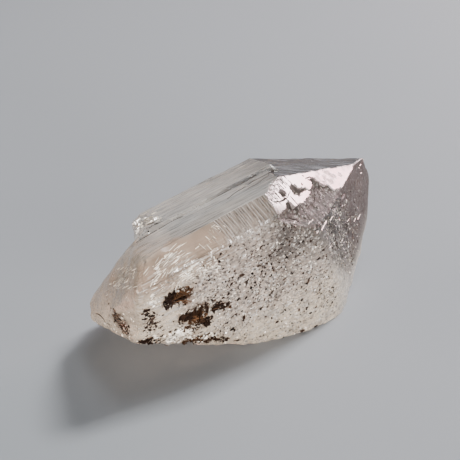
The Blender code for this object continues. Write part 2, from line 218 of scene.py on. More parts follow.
# Fields of small tilted etch facets: face, number, middle and spread along, middle and spread
# across, size, how slim, heading in degrees and how much it differs, how far they tilt from the
# face, and lightness.
FACET_FIELDS = (
    ("etched_front", (
        (1500, 2, 12, 19, 10, 0.2, 0.6, 30, 60, 0.55, 0.62),
        (380, -16, 6, 23, 7, 0.22, 0.5, 20, 40, 0.5, 0.95))),
    ("right_side", ((800, 9, 9, 10, 7, 0.18, 0.55, 20, 50, 0.6, 0.3),)),
    ("etched_front", ((280, 15, 5, 9, 4, 0.18, 0.6, 30, 60, 0.55, 0.45),)),
    ("right_strip", ((40, 16, 7, 5, 3, 0.2, 0.5, 20, 40, 0.5, 0.22),)),
    ("bright_face", ((60, 2, 9, 6.5, 3, 0.2, 0.6, 0, 90, 0.45, 0.3),)),
    ("under_front", ((420, -14, 9, 20, 6, 0.28, 0.5, 20, 50, 0.55, 1),)),
    ("ridged_band", (
        (26, -19.4, 1.6, 9, 0.7, 1.1, 0.07, 9, 5, 0.1, 1),
        (44, -23.2, 1.8, 7.2, 1.5, 0.8, 0.08, 20, 7, 0.12, 0.85),
        (16, -19, 2.2, 6.4, 0.9, 0.8, 0.08, 9, 6, 0.12, 0.95),
        (9, -11.4, 0.9, 7.8, 1, 0.8, 0.05, -77, 6, 0.12, 0.9),
        (12, -8.9, 0.8, 9.9, 0.6, 0.5, 0.09, -50, 35, 0.12, 0.9))),
    ("etched_front", (
        (30, -18, 1.5, 34.6, 1.2, 0.9, 0.1, 9, 6, 0.1, 1),
        (18, -22.8, 2, 33.4, 1.4, 0.6, 0.1, 20, 25, 0.15, 0.95),
        (34, -13.6, 1.4, 32.6, 1.4, 0.45, 0.2, -30, 35, 0.2, 1),
        (30, -27, 1, 31.9, 0.8, 0.35, 0.45, 0, 60, 0.3, 1),
        (46, -21.6, 1.5, 20.8, 1.3, 0.42, 0.45, 20, 40, 0.25, 1))),
    ("under_front", (
        (60, -18.8, 1.5, 20.3, 1.2, 0.45, 0.45, 20, 40, 0.25, 1),
        (30, -12, 1.6, 16.8, 0.8, 0.42, 0.4, 20, 40, 0.25, 1))),
    ("butt_upper", (
        (46, -1.6, 1.6, -25.5, 3.8, 0.9, 0.07, -72, 7, 0.1, 0.95),
        (12, -3.2, 0.8, -21.4, 1.6, 0.5, 0.2, -68, 12, 0.12, 1))),
    ("butt_lower", ((70, 0, 4, 23, 5, 0.26, 0.5, 0, 90, 0.4, 0.85),)),
    ("plate_left", ((70, 0, 30, 0, 30, 0.45, 0.6, 0, 90, 0.5, 1),)),
    ("plate_bevel", ((70, 0, 30, 0, 30, 0.45, 0.6, 0, 90, 0.5, 1),)),
    ("plate_top", (
        (70, -14.2, 1.3, -6.5, 2.2, 0.55, 0.35, 0, 20, 0.3, 1),
        (30, -12.6, 1.6, -1.5, 1.2, 0.7, 0.15, 0, 8, 0.15, 1))),
    ("foot", ((60, 0, 12, 0, 12, 0.28, 0.5, 0, 90, 0.5, 0.75),)),
)
# The same for facets that face a low light in front, whatever face they lie on.
LIT_WAY = (0.217, -0.948, 0.20)
LIT_FIELDS = (
    ("under_front", ((40, -18.9, 1.3, 20.8, 1, 0.42, 0.5, 20, 40, 0.12, 1),)),
    ("etched_front", ((16, -21.2, 1, 19.6, 0.8, 0.36, 0.5, 20, 40, 0.12, 1),)),
    ("under_front", ((20, -12, 1.1, 17, 0.6, 0.36, 0.5, 20, 40, 0.12, 1),)),
    ("etched_front", (
        (14, -27.1, 0.9, 31.6, 0.6, 0.3, 0.5, 20, 60, 0.12, 1),
        (16, -27.6, 1.2, 28, 1.8, 0.22, 0.5, 20, 60, 0.15, 1),
        (16, -17.8, 1.3, 34.9, 0.7, 0.6, 0.16, 9, 6, 0.1, 1),
        (12, -13.8, 1.1, 33.2, 0.9, 0.36, 0.4, -20, 40, 0.12, 1))),
    ("ridged_band", (
        (10, -19.4, 1.4, 8.6, 0.8, 0.6, 0.12, 9, 6, 0.08, 1),
        (12, -23.4, 1.6, 7, 1.2, 0.5, 0.16, 20, 8, 0.1, 1))),
    ("etched_front", ((90, -2, 11, 14, 8, 0.13, 0.6, 30, 60, 0.2, 1),)),
    ("right_side", ((50, 11, 7, 10, 6, 0.12, 0.6, 30, 60, 0.25, 1),)),
    ("butt_upper", ((12, -1.8, 1.4, -25, 3.2, 0.5, 0.12, -72, 8, 0.1, 1),)),
)
# The same for facets that mirror the key light.
MIRROR_WAY = (0.31, -0.40, 0.86)
MIRROR_FIELDS = (
    ("plate_bevel", ((60, -2, 1.4, -11, 3.5, 0.4, 0.6, 30, 60, 0.1, 1),)),
    ("plate_top", (
        (16, -13.6, 0.7, -6.5, 2.2, 0.45, 0.5, 0, 15, 0.08, 1),
        (8, -12.8, 0.9, -2.6, 0.6, 0.9, 0.15, 0, 4, 0.06, 1))),
    ("under_front", ((14, -18.9, 1.6, 20.4, 1.2, 0.3, 0.5, 20, 40, 0.1, 1),)),
    ("etched_front", ((10, -13.6, 1.2, 33, 1, 0.36, 0.3, -20, 40, 0.1, 1),)),
)
# Single terraces that mirror the light as the bright face does, parallel to its right edge:
# face, u, v, half length and half width.
GLINTS = (
    ("right_side", (
        (-4.4, 20.3, 1.2, 0.07), (-1.2, 19.6, 1.9, 0.14), (2, 18.8, 2.4, 0.15),
        (6.4, 17.7, 1.8, 0.06))),
    ("etched_front", ((10.6, 25.6, 0.9, 0.08),)),
    ("bright_face", ((-13.8, 4, 1.1, 0.07), (-8.6, 3.3, 1.2, 0.08), (-6.8, 3.7, 1, 0.07))),
    ("right_side", (
        (26, 6.7, 1.6, 0.05), (30.2, 5.2, 2.2, 0.09), (17.8, 14.7, 0.6, 0.03),
        (22.6, 13.6, 0.7, 0.04), (20.4, 13.6, 0.5, 0.05), (8, 20.2, 0.8, 0.03),
        (42.9, 12.9, 0.8, 0.12), (42.3, 11, 0.7, 0.1), (41.2, 13, 0.5, 0.06), (-6, 15, 0.8, 0.05),
        (12, 9, 1.2, 0.05), (20.5, 9.6, 1.4, 0.05), (2, 13, 0.9, 0.05))),
)
# Iron patches: face, u, v, spread along and across, number of blades, length, mean heading in
# degrees, how much the headings differ, how much they stand up, and rustiness.
IRON_PATCHES = (
    ("etched_front", (
        (-23, 30.2, 0.7, 0.9, 170, 1.1, 90, 180, 0.3, 0.04),
        (-22.4, 31, 0.6, 0.4, 18, 2.2, 95, 35, 0.1, 0.05),
        (-21, 29.8, 0.9, 0.8, 220, 1.7, 15, 40, 0.2, 0.5),
        (-19.9, 29.6, 0.8, 0.7, 60, 2.2, 10, 30, 0.08, 0.45),
        (-20, 22.8, 0.9, 0.6, 120, 1, 0, 180, 0.3, 0.12),
        (-17.6, 22.4, 1.3, 0.8, 230, 2.4, 60, 25, 0.15, 0.25),
        (-16.9, 20.8, 0.8, 0.6, 110, 1.3, 40, 60, 0.25, 1),
        (-15.6, 19.1, 0.8, 0.6, 120, 1.1, -30, 180, 0.3, 0.05),
        (-17.6, 20.2, 1.2, 0.6, 90, 1.2, -10, 60, 0.2, 0.3),
        (-14.9, 22.6, 0.2, 0.3, 6, 2.2, 85, 15, 0.1, 0.05),
        (-22.9, 29.4, 0.3, 0.3, 9, 4.6, 30, 22, 0.1, 1),
        (-22.9, 29.4, 0.4, 0.3, 12, 4.4, 42, 30, 0.1, 0.05),
        (-17.6, 20.2, 0.4, 0.4, 9, 4.2, 62, 22, 0.1, 1),
        (-17.4, 20.4, 0.5, 0.4, 14, 4.4, 68, 26, 0.1, 0.06),
        (-13.4, 21.8, 0.5, 0.5, 34, 2.6, -24, 22, 0.05, 0.06),
        (-11.2, 20.8, 0.5, 0.4, 26, 2.2, -20, 25, 0.05, 0.06),
        (-12.2, 22.6, 0.3, 0.3, 10, 1.4, 60, 40, 0.05, 0.06))),
    ("under_front", (
        (-16, 17, 1.6, 0.35, 80, 1.2, -30, 50, 0.2, 0.3),
        (-12.6, 15.4, 1.4, 0.35, 80, 1.2, -30, 50, 0.2, 0.15),
        (-9.2, 13.3, 0.9, 0.3, 40, 1, -30, 60, 0.2, 0.08),
        (-26.3, 22.4, 0.8, 0.4, 60, 0.8, 0, 180, 0.06, 0.03))),
    ("butt_lower", (
        (0.8, 24.4, 1.3, 1.4, 60, 0.7, 0, 180, 0.1, 0.4),
        (2.4, 22.6, 0.8, 0.6, 30, 0.8, 0, 180, 0.15, 0.1))),
)
# Solid lumps under the blades: face, u, v, half length, half width, heading in degrees, rustiness.
IRON_CORES = (
    ("etched_front", (
        (-23.1, 29.8, 1.1, 0.85, 60, 0.02), (-23.9, 28.7, 0.7, 0.5, 60, 0.02),
        (-23.2, 31.6, 0.8, 0.45, 95, 0.03), (-21.9, 31, 1.3, 0.22, 36, 0.05),
        (-22, 29.4, 0.8, 0.6, 10, 0.1), (-20.6, 29.6, 0.9, 0.55, 20, 0.45),
        (-19.8, 26.9, 0.35, 0.22, 80, 0.05), (-20.4, 23.5, 1, 0.8, 20, 0.1),
        (-19.2, 23.4, 0.9, 0.7, 60, 0.05), (-17.6, 23.4, 1.3, 0.5, 50, 0.18),
        (-16.4, 22.4, 1.2, 0.45, 60, 0.12), (-17.4, 20.5, 1.1, 0.75, -10, 0.9),
        (-16.2, 19.6, 0.9, 0.6, -20, 0.3), (-18.6, 21.2, 0.8, 0.5, 40, 0.12),
        (-15.3, 18, 0.85, 0.5, -30, 0.02), (-14.8, 22.2, 1.4, 0.28, 82, 0.04),
        (-12.9, 20.4, 1.2, 0.42, -20, 0.02), (-11, 20.3, 0.9, 0.28, -8, 0.04),
        (-9.4, 19.4, 0.4, 0.3, 0, 0.35), (-13.9, 25.1, 0.25, 0.18, 0, 0.05),
        (-11, 23.3, 0.45, 0.2, -20, 0.04), (-6.1, 13.8, 0.6, 0.45, 60, 0.1),
        (-8.6, 11.6, 0.5, 0.32, 80, 0.03), (-9.1, 16.5, 0.45, 0.14, 20, 0.05))),
    ("under_front", (
        (-15.2, 16.5, 1.6, 0.32, -38, 0.15), (-12.9, 14.8, 1, 0.26, -38, 0.1),
        (-10.3, 13.8, 1.5, 0.45, -28, 0.1), (-8.2, 12.4, 0.7, 0.3, -40, 0.03),
        (-5.2, 10.2, 1, 0.22, -20, 0.03), (-26.6, 22.3, 1.4, 0.5, -30, 0.02),
        (-25.3, 20.8, 0.8, 0.4, -40, 0.02), (-25.9, 32.3, 0.75, 0.45, 0, 0.02),
        (-24.8, 30.2, 0.3, 0.45, 80, 0.02), (-24.3, 27.6, 0.28, 0.6, 80, 0.02))),
)
# Dark cracks and grooves, the dark ribbons along grooves, such as the one at the foot of the plate, being
# painted shade: face, width, and points in u, v.
CRACKS = (
    ("smooth_top", (
        (0.15, ((-20.6, -15.4), (-18.8, -15.2), (-17, -15.1), (-15.2, -15))),
        (0.05, ((-14.8, -15), (-12, -14.8), (-8.6, -14.6))))),
    ("plate_top", ((0.08, ((-16.2, -13.7), (-14.8, -13.7), (-13, -13.6))),)),
    ("smooth_top", (
        (0.08, ((5.4, -18.9), (9, -18), (12.4, -16.6), (13.4, -15.2))),
        (0.05, ((0.4, -18.4), (3.2, -17.4), (6.4, -16.4))))),
    ("steep_top", ((0.2, ((18.8, 6.2), (20.6, 7.2), (22.2, 7.6), (23.6, 7.2))),)),
    ("smooth_top", (
        (0.03, ((-1.4, -13.3), (2.6, -13.4), (6.5, -13))),
        (0.03, ((7, -16.2), (11, -15.6), (14.6, -15.5))))),
    ("butt_lower", (
        (0.15, ((-8.2, 18.9), (-6.4, 19.9), (-4.9, 20.2), (-4.2, 19.5), (-2.4, 20.1))),)),
    ("bright_face", (
        (0.19, ((-20.7, 10.4), (-19.7, 9.3), (-16.9, 9), (-14.8, 9.2), (-12.8, 9.7), (-9.6, 10.9))),
        (0.18, ((-13.4, 9.4), (-12, 7.3))), (0.18, ((-11, 9.9), (-10.2, 7.5))),
        (0.15, ((-19.2, 11.7), (-18, 9.6))), (0.14, ((-17.4, 12.4), (-15.9, 9.6))),
        (0.14, ((-15.2, 13), (-14.2, 11.4))), (0.14, ((-12.5, 13.5), (-11.6, 11.6))),
        (0.12, ((-10.4, 14.2), (-9.5, 12.5))), (0.12, ((-8, 14.6), (-6.7, 12.9))),
        (0.14, ((0.9, 13.3), (3.4, 13.6), (6.4, 13.3))),
        (0.14, ((4.6, 11.2), (2.6, 9.6), (1.2, 8.6), (-0.6, 7.6))),
        (0.09, ((5.6, 10.6), (4.4, 9.6), (3.4, 8.2))),
        (0.13, ((-14.8, 5.4), (-12.6, 5), (-11.4, 4.2))))),
)

# Half the floor's width, the lens and sensor in mm, and the camera's height in degrees.
FLOOR_HALF, LENS, SENSOR, CAMERA_RISE = 2.0, 90.0, 36.0, 22.0
AIM_POINT = (0.0, 0.0, 20.0)
SKY, SKY_STRENGTH = (0.46, 0.455, 0.45, 1.0), 0.26
# Soft lights, in metres: place, height aimed at, size, watts where it is no setting, and colour.
LAMPS = (
    ("window", (0.66, 0.98, 0.26), 0.02, (0.62, 0.40), None, (1.0, 0.78, 0.79)),
    ("rose_card", (0.703, 0.922, 0.196), 0.02, (0.17, 0.10), 0.75, (1.0, 0.34, 0.38)),
    ("white_card", (0.703, 0.900, 0.284), 0.02, (0.17, 0.085), 0.95, (1.0, 0.72, 0.75)),
    ("key", (0.50, 0.42, 0.95), 0, (0.25, 0.25), None, (1.0, 0.98, 0.96)),
    ("overhead", (0.18, 0.02, 1.1), 0, (0.3, 0.3), 2.6, (0.97, 0.98, 1.0)),
    ("front_fill", (0.46, -1.00, 0.10), 0.02, (0.6, 0.16), 21.0, (1.0, 0.97, 0.94)),
    ("right_card", (1.05, -0.42, 0.22), 0.02, (0.3, 0.2), 3.0, (1.0, 0.97, 0.94)),
    ("left_card", (-1.0, -0.35, 0.11), 0.02, (0.5, 0.18), 9.0, (1.0, 0.90, 0.80)),
)


def length(name, text, size):
    """A length setting, its default in mm."""
    return FloatProperty(name=name, description=text, default=size * MM, unit="LENGTH")


def colour(name, text, *rgb):
    """A colour setting."""
    return FloatVectorProperty(name=name, description=text, default=rgb, subtype="COLOR", min=0, max=1)


def power(name, text, watts):
    """A light's power."""
    return FloatProperty(name=name, description=text, default=watts, unit="POWER")


class CrystalForm(PropertyGroup):
    """Sizes of the crystal's surface detail."""

    ridge_pitch: length("Ridge pitch", "Distance between growth ridges", 0.62)
    etch_drop: length("Etch drop", "How far the etched parts lie below", 0.5)
    facet_height: length("Facet height", "Height of the etch facets", 0.24)
    edge_wear: length("Edge wear", "How much the edges are rounded off", 0.06)


class CrystalColours(PropertyGroup):
    """Colours of the quartz and of what grew in it."""

    clear: colour("Clear quartz", "Tint of the clear faces", 0.80, 0.76, 0.70)
    smoky: colour("Smoky quartz", "Tint of the brown parts", 0.60, 0.45, 0.345)
    frosted: colour("Etched quartz", "Tint of the etched front", 0.66, 0.545, 0.465)
    milky: colour("Milky quartz", "Tint of the cloudy underside", 1.0, 0.83, 0.645)
    # Grey tint of the right side, also laid as painted shade in the dark lines at the feet of the growth
    # ridges.
    shaded: colour("Grey quartz", "Tint of the grey right side", 0.062, 0.052, 0.048)
    rust: colour("Rust", "Iron stain", 0.15, 0.075, 0.04)
    soot: colour("Dark mineral", "Dark grains and blades", 0.006, 0.004, 0.0035)


class GrainCount(PropertyGroup):
    """How many small things grew on and in the crystal."""

    specks: IntProperty(name="Specks", description="Dark grains on the etched front", default=1300)
    blades: IntProperty(name="Blades", description="Share of the iron blades", default=100,
                        subtype="PERCENTAGE")
    facets: IntProperty(name="Facets", description="Share of the small etch facets", default=100,
                        subtype="PERCENTAGE")


class StudioSettings(PropertyGroup):
    """Floor, light and camera."""

    floor: colour("Floor", "Colour of the floor", 0.285, 0.308, 0.338)
    key: power("Key light", "Power of the light above on the right", 17.8)
    window: power("Window light", "Power of the large light that the bright face mirrors", 8.0)
    distance: length("Camera distance", "Camera to the crystal's middle", 253)


def rows_of(table):
    """The rows of a table that is grouped by face, each with its face's name first."""
    for name, rows in table:
        for row in rows:
            yield (name, *row)


def smooth(x):
    """0 below 0, 1 above 1 and 3x2 - 2x3 between."""
    x = np.clip(x, 0.0, 1.0)
    return x * x * (3 - 2 * x)


def cell_random(cells, seed):
    """A fixed random number from -1 to 1 for each whole-number cell, by mixing its indices."""
    mix = np.full(cells.shape[:-1], seed * 1013904223 + 12345, np.int64)
    for i, prime in zip(range(cells.shape[-1]), (374761393, 668265263, 2246822519)):
        mix = (mix + cells[..., i] * prime) & 0xFFFFFFFF
        mix = ((mix ^ (mix >> 15)) * 2246822519) & 0xFFFFFFFF
    mix = ((mix ^ (mix >> 13)) * 3266489917) & 0xFFFFFFFF
    return ((mix ^ (mix >> 16)) & 0xFFFFFFFF) / 2147483647.5 - 1


def lumps(p, size, seed):
    """Smooth random height: random corner values of cubes of the given size, blended smoothly."""
    q = np.asarray(p) / size
    base = np.floor(q).astype(np.int64)
    w = smooth(q - base)
    total = np.zeros(q.shape[:-1])
    for corner in itertools.product((0, 1), repeat=q.shape[-1]):
        weight = np.prod(np.where(np.array(corner) == 1, w, 1 - w), axis=-1)
        total += weight * cell_random(base + np.array(corner), seed)
    return total


def lumps_at(u, v, size, seed):
    """The same over two coordinates."""
    return lumps(np.stack([u, v], -1), size, seed)


def patches(u, v, seed):
    """Soft patches from 0 to 1, drawn out along the axis."""
    return smooth(0.4 + 1.2 * lumps_at(u / 2.2, v, 2.4, seed))


def facets(u, v, size, seed):
    """Flat triangular facets: random heights at the corners of a triangle lattice, straight between."""
    y = v / (0.866 * size)
    x = u / size - 0.5 * y
    i, j = np.floor(x).astype(np.int64), np.floor(y).astype(np.int64)
    fx, fy = x - i, y - j
    far = (fx + fy > 1).astype(np.int64)
    near = np.stack([i + far, j + far], -1)
    right = np.stack([i + 1, j], -1)
    up = np.stack([i, j + 1], -1)
    w0 = np.where(far == 1, fx + fy - 1, 1 - fx - fy)
    w1 = np.where(far == 1, 1 - fy, fx)
    w2 = np.where(far == 1, 1 - fx, fy)
    return (w0 * cell_random(near, seed) + w1 * cell_random(right, seed)
            + w2 * cell_random(up, seed))


def wave(x):
    """Straight-flanked wave from -1 to 1 with a period of one."""
    return 1 - 4 * np.abs(x - np.floor(x) - 0.5)


def turned(u, v, degrees):
    """Coordinates u, v in directions turned by an angle."""
    c, s = math.cos(math.radians(degrees)), math.sin(math.radians(degrees))
    return u * c + v * s, v * c - u * s


def inside(points, a, b):
    """True where 2-D points lie inside the outline made of edges a to b, by counting crossings."""
    y = points[:, 1:2]
    rise = b[:, 1] - a[:, 1]
    rise = np.where(np.abs(rise) < 1e-12, 1e-12, rise)
    x = a[:, 0] + (y - a[:, 1]) / rise * (b[:, 0] - a[:, 0])
    crossed = ((a[:, 1] > y) != (b[:, 1] > y)) & (points[:, 0:1] < x)
    return crossed.sum(1) % 2 == 1


def gap_to(points, a, b):
    """Distance from each 2-D point to the nearest edge a to b."""
    d = b - a
    length = np.maximum((d * d).sum(1), 1e-12)
    t = np.clip(((points[:, None, :] - a) * d).sum(2) / length, 0, 1)
    return np.linalg.norm(a + t[..., None] * d - points[:, None, :], axis=2).min(1)


def unit(v):
    """The vector v at length one."""
    v = np.asarray(v, float)
    return v / np.linalg.norm(v, axis=-1, keepdims=True)


def axis_frame():
    """The axis direction and two directions across it, the first of them level."""
    b, r = math.radians(AXIS_BEARING), math.radians(AXIS_RISE)
    axis = np.array([math.cos(b) * math.cos(r), math.sin(b) * math.cos(r), math.sin(r)])
    level = unit(np.cross(axis, (0, 0, 1)))
    return axis, level, np.cross(level, axis)


def crystal_normal(step, tilt=90.0):
    """Outward normal of the face that is so many steps round the axis and tilted from it."""
    axis, level, rising = axis_frame()
    a, t = math.radians(AXIS_TURN + PRISM_STEP * step), math.radians(tilt)
    return (level * math.cos(a) + rising * math.sin(a)) * math.sin(t) + axis * math.cos(t)


def compass_normal(bearing, slope):
    """Outward normal with a bearing from +X toward +Y and a slope above level."""
    b, s = math.radians(bearing), math.radians(slope)
    return np.array([math.cos(b) * math.cos(s), math.sin(b) * math.cos(s), math.sin(s)])


def face_planes():
    """Faces of the body and of the thin plate on it: name to outward normal and distance."""
    body = {k: (crystal_normal(n), d) for k, (n, d) in PRISM_FACES.items()}
    body["bright_face"] = (crystal_normal(0, RHOMB_TILT), BRIGHT_DISTANCE)
    body.update({k: (compass_normal(b, s), d) for k, (b, s, d) in OTHER_FACES.items()})
    top, back = body["smooth_top"], body["back"]
    plate = {
        "plate_top": (top[0], top[1] + PLATE_RISE),
        "plate_back": (back[0], back[1] + PLATE_BACK_GROWTH),
        "plate_under": (-top[0], PLATE_DEPTH - top[1]),
    }
    plate.update({k: (compass_normal(b, s), d) for k, (b, s, d) in PLATE_FACES.items()})
    return body, plate


def face_axes(normal):
    """Two directions in a face: along the crystal's axis, and across it."""
    axis = axis_frame()[0]
    along = axis - (axis @ normal) * normal
    if np.linalg.norm(along) < 0.05:
        along = np.cross(normal, (0, 0, 1))
    along = unit(along)
    return along, np.cross(normal, along)


BODY, PLATE = face_planes()
PLANES = {**BODY, **PLATE}
AXES = {k: face_axes(n) for k, (n, d) in PLANES.items()}


def face_points(name, u, v):
    """Points of a face's plane at u along it and v across it."""
    normal, distance = PLANES[name]
    along, across = AXES[name]
    base = normal * distance
    return (base + np.outer(np.asarray(u) - base @ along, along)
            + np.outer(np.asarray(v) - base @ across, across))


def headings(name, turn):
    """Directions in a face's plane, turned from the crystal's axis by angles in radians."""
    along, across = AXES[name]
    return np.outer(np.cos(turn), along) + np.outer(np.sin(turn), across)


def cut_block(name, planes, reach=120.0):
    """A convex solid in mm: a large block cut by each face in turn, closed after each cut."""
    bm = bmesh.new()
    bmesh.ops.create_cube(bm, size=2 * reach)
    for normal, distance in planes.values():
        geom = bm.verts[:] + bm.edges[:] + bm.faces[:]
        cut = bmesh.ops.bisect_plane(bm, geom=geom, dist=1e-6, plane_co=Vector(normal) * distance,
                                     plane_no=Vector(normal), clear_outer=True)
        edges = [e for e in cut["geom_cut"] if isinstance(e, bmesh.types.BMEdge)]
        if edges:
            bmesh.ops.contextual_create(bm, geom=edges)
    bmesh.ops.remove_doubles(bm, verts=bm.verts, dist=1e-4)
    bmesh.ops.recalc_face_normals(bm, faces=bm.faces)
    mesh = bpy.data.meshes.new(name)
    bm.to_mesh(mesh)
    bm.free()
    obj = bpy.data.objects.new(name, mesh)
    bpy.context.scene.collection.objects.link(obj)
    return obj


@functools.lru_cache(None)
def face_outlines():
    """Corner points and, for each named face, its outline edges, of body and plate fused."""
    a, b = cut_block("body_block", BODY), cut_block("plate_block", PLATE)
    union = a.modifiers.new("grown_together", "BOOLEAN")
    union.operation = "UNION"
    union.solver = "EXACT"
    union.object = b
    bpy.context.view_layer.update()
    result = a.evaluated_get(bpy.context.evaluated_depsgraph_get()).to_mesh()
    points = np.array([v.co[:] for v in result.vertices])
    polygons = [tuple(p.vertices) for p in result.polygons]
    a.to_mesh_clear()
    for obj in (a, b):
        mesh = obj.data
        bpy.data.objects.remove(obj)
        bpy.data.meshes.remove(mesh)
    names = list(PLANES)
    normals = np.array([PLANES[k][0] for k in names])
    distances = np.array([PLANES[k][1] for k in names])
    groups = {}
    for poly in polygons:
        corner = points[list(poly)]
        area = np.cross(corner[1:-1] - corner[0], corner[2:] - corner[0]).sum(0)
        miss = np.abs(corner @ normals.T - distances).max(0) + 5 * (normals @ unit(area) < 0.9)
        groups.setdefault(names[int(miss.argmin())], []).append(poly)
    outlines = {}
    for name, polys in groups.items():
        directed = [(p[i], p[(i + 1) % len(p)]) for p in polys for i in range(len(p))]
        have = set(directed)
        outlines[name] = [e for e in directed if (e[1], e[0]) not in have]
    return points, outlines


def is_soft(a, b):
    """True where two faces run into each other over a rounded edge."""
    return (a in ROUNDING and b in ROUNDING) or (a, b) in SOFT_PAIRS or (b, a) in SOFT_PAIRS


@functools.lru_cache(None)
def soft_neighbours():
    """For each face, itself and the faces it runs into over a rounded edge."""
    users = {}
    for name, edges in face_outlines()[1].items():
        for e in edges:
            users.setdefault(tuple(sorted(e)), set()).add(name)
    met = {name: {name} for name in PLANES}
    for pair in users.values():
        if len(pair) == 2 and is_soft(*pair):
            for name in pair:
                met[name] |= pair
    return {name: sorted(near) for name, near in met.items()}


def face_blend(name, p):
    """Shares of the neighbouring faces at points p of a face, how far its rounded edges cut in
    there, and the rounded surface's direction: the smooth maximum of the planes' heights."""
    near = soft_neighbours()[name]
    normals = np.array([PLANES[k][0] for k in near])
    gap = p @ normals.T - np.array([PLANES[k][1] for k in near])
    first = np.exp(1.5 * (gap - gap.max(1, keepdims=True)))
    first /= first.sum(1, keepdims=True)
    sharp = first @ np.array([ROUNDING.get(k, PAIR_ROUNDING) for k in near])
    power = np.exp(sharp[:, None] * gap)
    total = power.sum(1)
    share = power / total[:, None]
    return near, share, np.log(total) / sharp, share @ normals


def face_shift(name, p, form):
    """Direction in which points p of a face move, and how far: its own and its neighbours'
    relief by their shares, less what the rounded edges take off."""
    near, share, cut, lean = face_blend(name, p)
    height = -cut
    for i, k in enumerate(near):
        along, across = AXES[k]
        close = share[:, i] > 0.02
        if close.any():
            q = p[close]
            height[close] += share[close, i] * relief(k, q, q @ along, q @ across, form)
    long = np.linalg.norm(lean, axis=1)
    return lean / long[:, None], height / long


def rim_chains(points, outlines):
    """Points along every outline edge, shared by its two faces, as close as the finer face asks."""
    users = {}
    for name, edges in outlines.items():
        for e in edges:
            users.setdefault(tuple(sorted(e)), []).append(name)
    coords, chains, total = [points], {}, len(points)
    for (a, b), names in users.items():
        run = points[b] - points[a]
        length = np.linalg.norm(run)
        gaps = []
        for name in names:
            along, across = AXES[name]
            su, sv = LATTICE.get(name, LATTICE_ELSE)
            gaps.append(1 / math.hypot(run @ along / length / su, run @ across / length / sv))
        count = max(1, round(length / max(min(gaps), 0.11)))
        t = np.arange(1, count)[:, None] / count
        coords.append(points[a] + run * t)
        chains[(a, b)] = [a, *range(total, total + count - 1), b]
        total += count - 1
    return np.vstack(coords), chains


def crystal_lattice():
    """Points, triangles and each triangle's face, with a lattice laid over every face."""
    points, outlines = face_outlines()
    coords, chains = rim_chains(points, outlines)
    blocks, triangles, owner_pairs, faces = [coords], [], [], []
    total = len(coords)
    for number, (name, edges) in enumerate(outlines.items()):
        along, across = AXES[name]
        step = np.array(LATTICE.get(name, LATTICE_ELSE))
        links = []
        for a, b in edges:
            chain = chains[tuple(sorted((a, b)))]
            chain = chain if chain[0] == a else chain[::-1]
            links += list(zip(chain[:-1], chain[1:]))
        links = np.array(links)
        rim = np.unique(links)
        flat = np.stack([coords[rim] @ along, coords[rim] @ across], -1) / step
        place = np.searchsorted(rim, links)
        pick = np.searchsorted(rim, np.array(edges))
        ea, eb = flat[pick[:, 0]], flat[pick[:, 1]]
        low, high = flat.min(0), flat.max(0)
        rows = np.arange(int((high[1] - low[1]) / 0.87) + 2)
        cols = np.arange(int(high[0] - low[0]) + 3)
        r, c = np.meshgrid(rows, cols, indexing="ij")
        grid = np.stack([math.floor(low[0]) + c + 0.5 * (r % 2), low[1] + 0.87 * r], -1)
        grid = grid.reshape(-1, 2)
        grid = grid[inside(grid, ea, eb)]
        grid = grid[gap_to(grid, ea, eb) > 0.55]
        ids = np.concatenate([rim, total + np.arange(len(grid))])
        total += len(grid)
        blocks.append(face_points(name, grid[:, 0] * step[0], grid[:, 1] * step[1]))
        flat = np.vstack([flat, grid])
        made = geometry.delaunay_2d_cdt(flat.tolist(), place.tolist(), [], 0, 1e-7)
        source = np.array([o[0] for o in made[3]])
        tri = source[np.array(made[2])]
        p, q, s = flat[tri[:, 0]], flat[tri[:, 1]], flat[tri[:, 2]]
        size = np.abs((q[:, 0] - p[:, 0]) * (s[:, 1] - p[:, 1])
                      - (q[:, 1] - p[:, 1]) * (s[:, 0] - p[:, 0]))
        tri = ids[tri[(size > 1e-4) & inside((p + q + s) / 3, ea, eb)]]
        triangles.append(tri)
        faces.append(np.full(len(tri), number))
        owner_pairs.append((name, np.unique(tri)))
    return np.vstack(blocks), np.vstack(triangles), np.concatenate(faces), owner_pairs


def etch_line(u):
    """Across position of the lower edge of the polished part, along the bright face."""
    return np.interp(u, ETCH_ALONG, ETCH_ACROSS)


def polish_of(u, v):
    """How polished the bright face is at u, v: 1 inside its mirror part, 0 where it is etched."""
    w = np.stack([u + 0.35 * facets(u, v, 0.8, 31), v + 0.3 * facets(u, v, 0.7, 32)], -1)
    good, *etched = (inside(w, np.array(c, float), np.roll(np.array(c, float), -1, axis=0))
                     for c in (POLISHED, *ETCHED_PATCHES))
    for patch in etched:
        good &= ~patch
    normal, distance = PLANES["bright_face"]
    along, across = AXES["bright_face"]
    top, reach = PLANES["smooth_top"]
    gap = reach - (distance * normal @ top + u * (along @ top) + v * (across @ top))
    edge = unit(np.cross(normal, top))
    place = (u * (along @ edge) + v * (across @ edge)) / 0.62
    tooth = np.floor(place).astype(np.int64)[:, None]
    comb = (gap < 2.2 + 1.6 * cell_random(tooth, 43)) & (wave(place) > 0.15)
    return (good & ~(comb & (u < -8 + 2 * cell_random(tooth, 44)))).astype(float)


def from_right_edge(p):
    """How far points of the bright face lie below the plane of the right side."""
    side, reach = PLANES["right_side"]
    return reach - p @ side


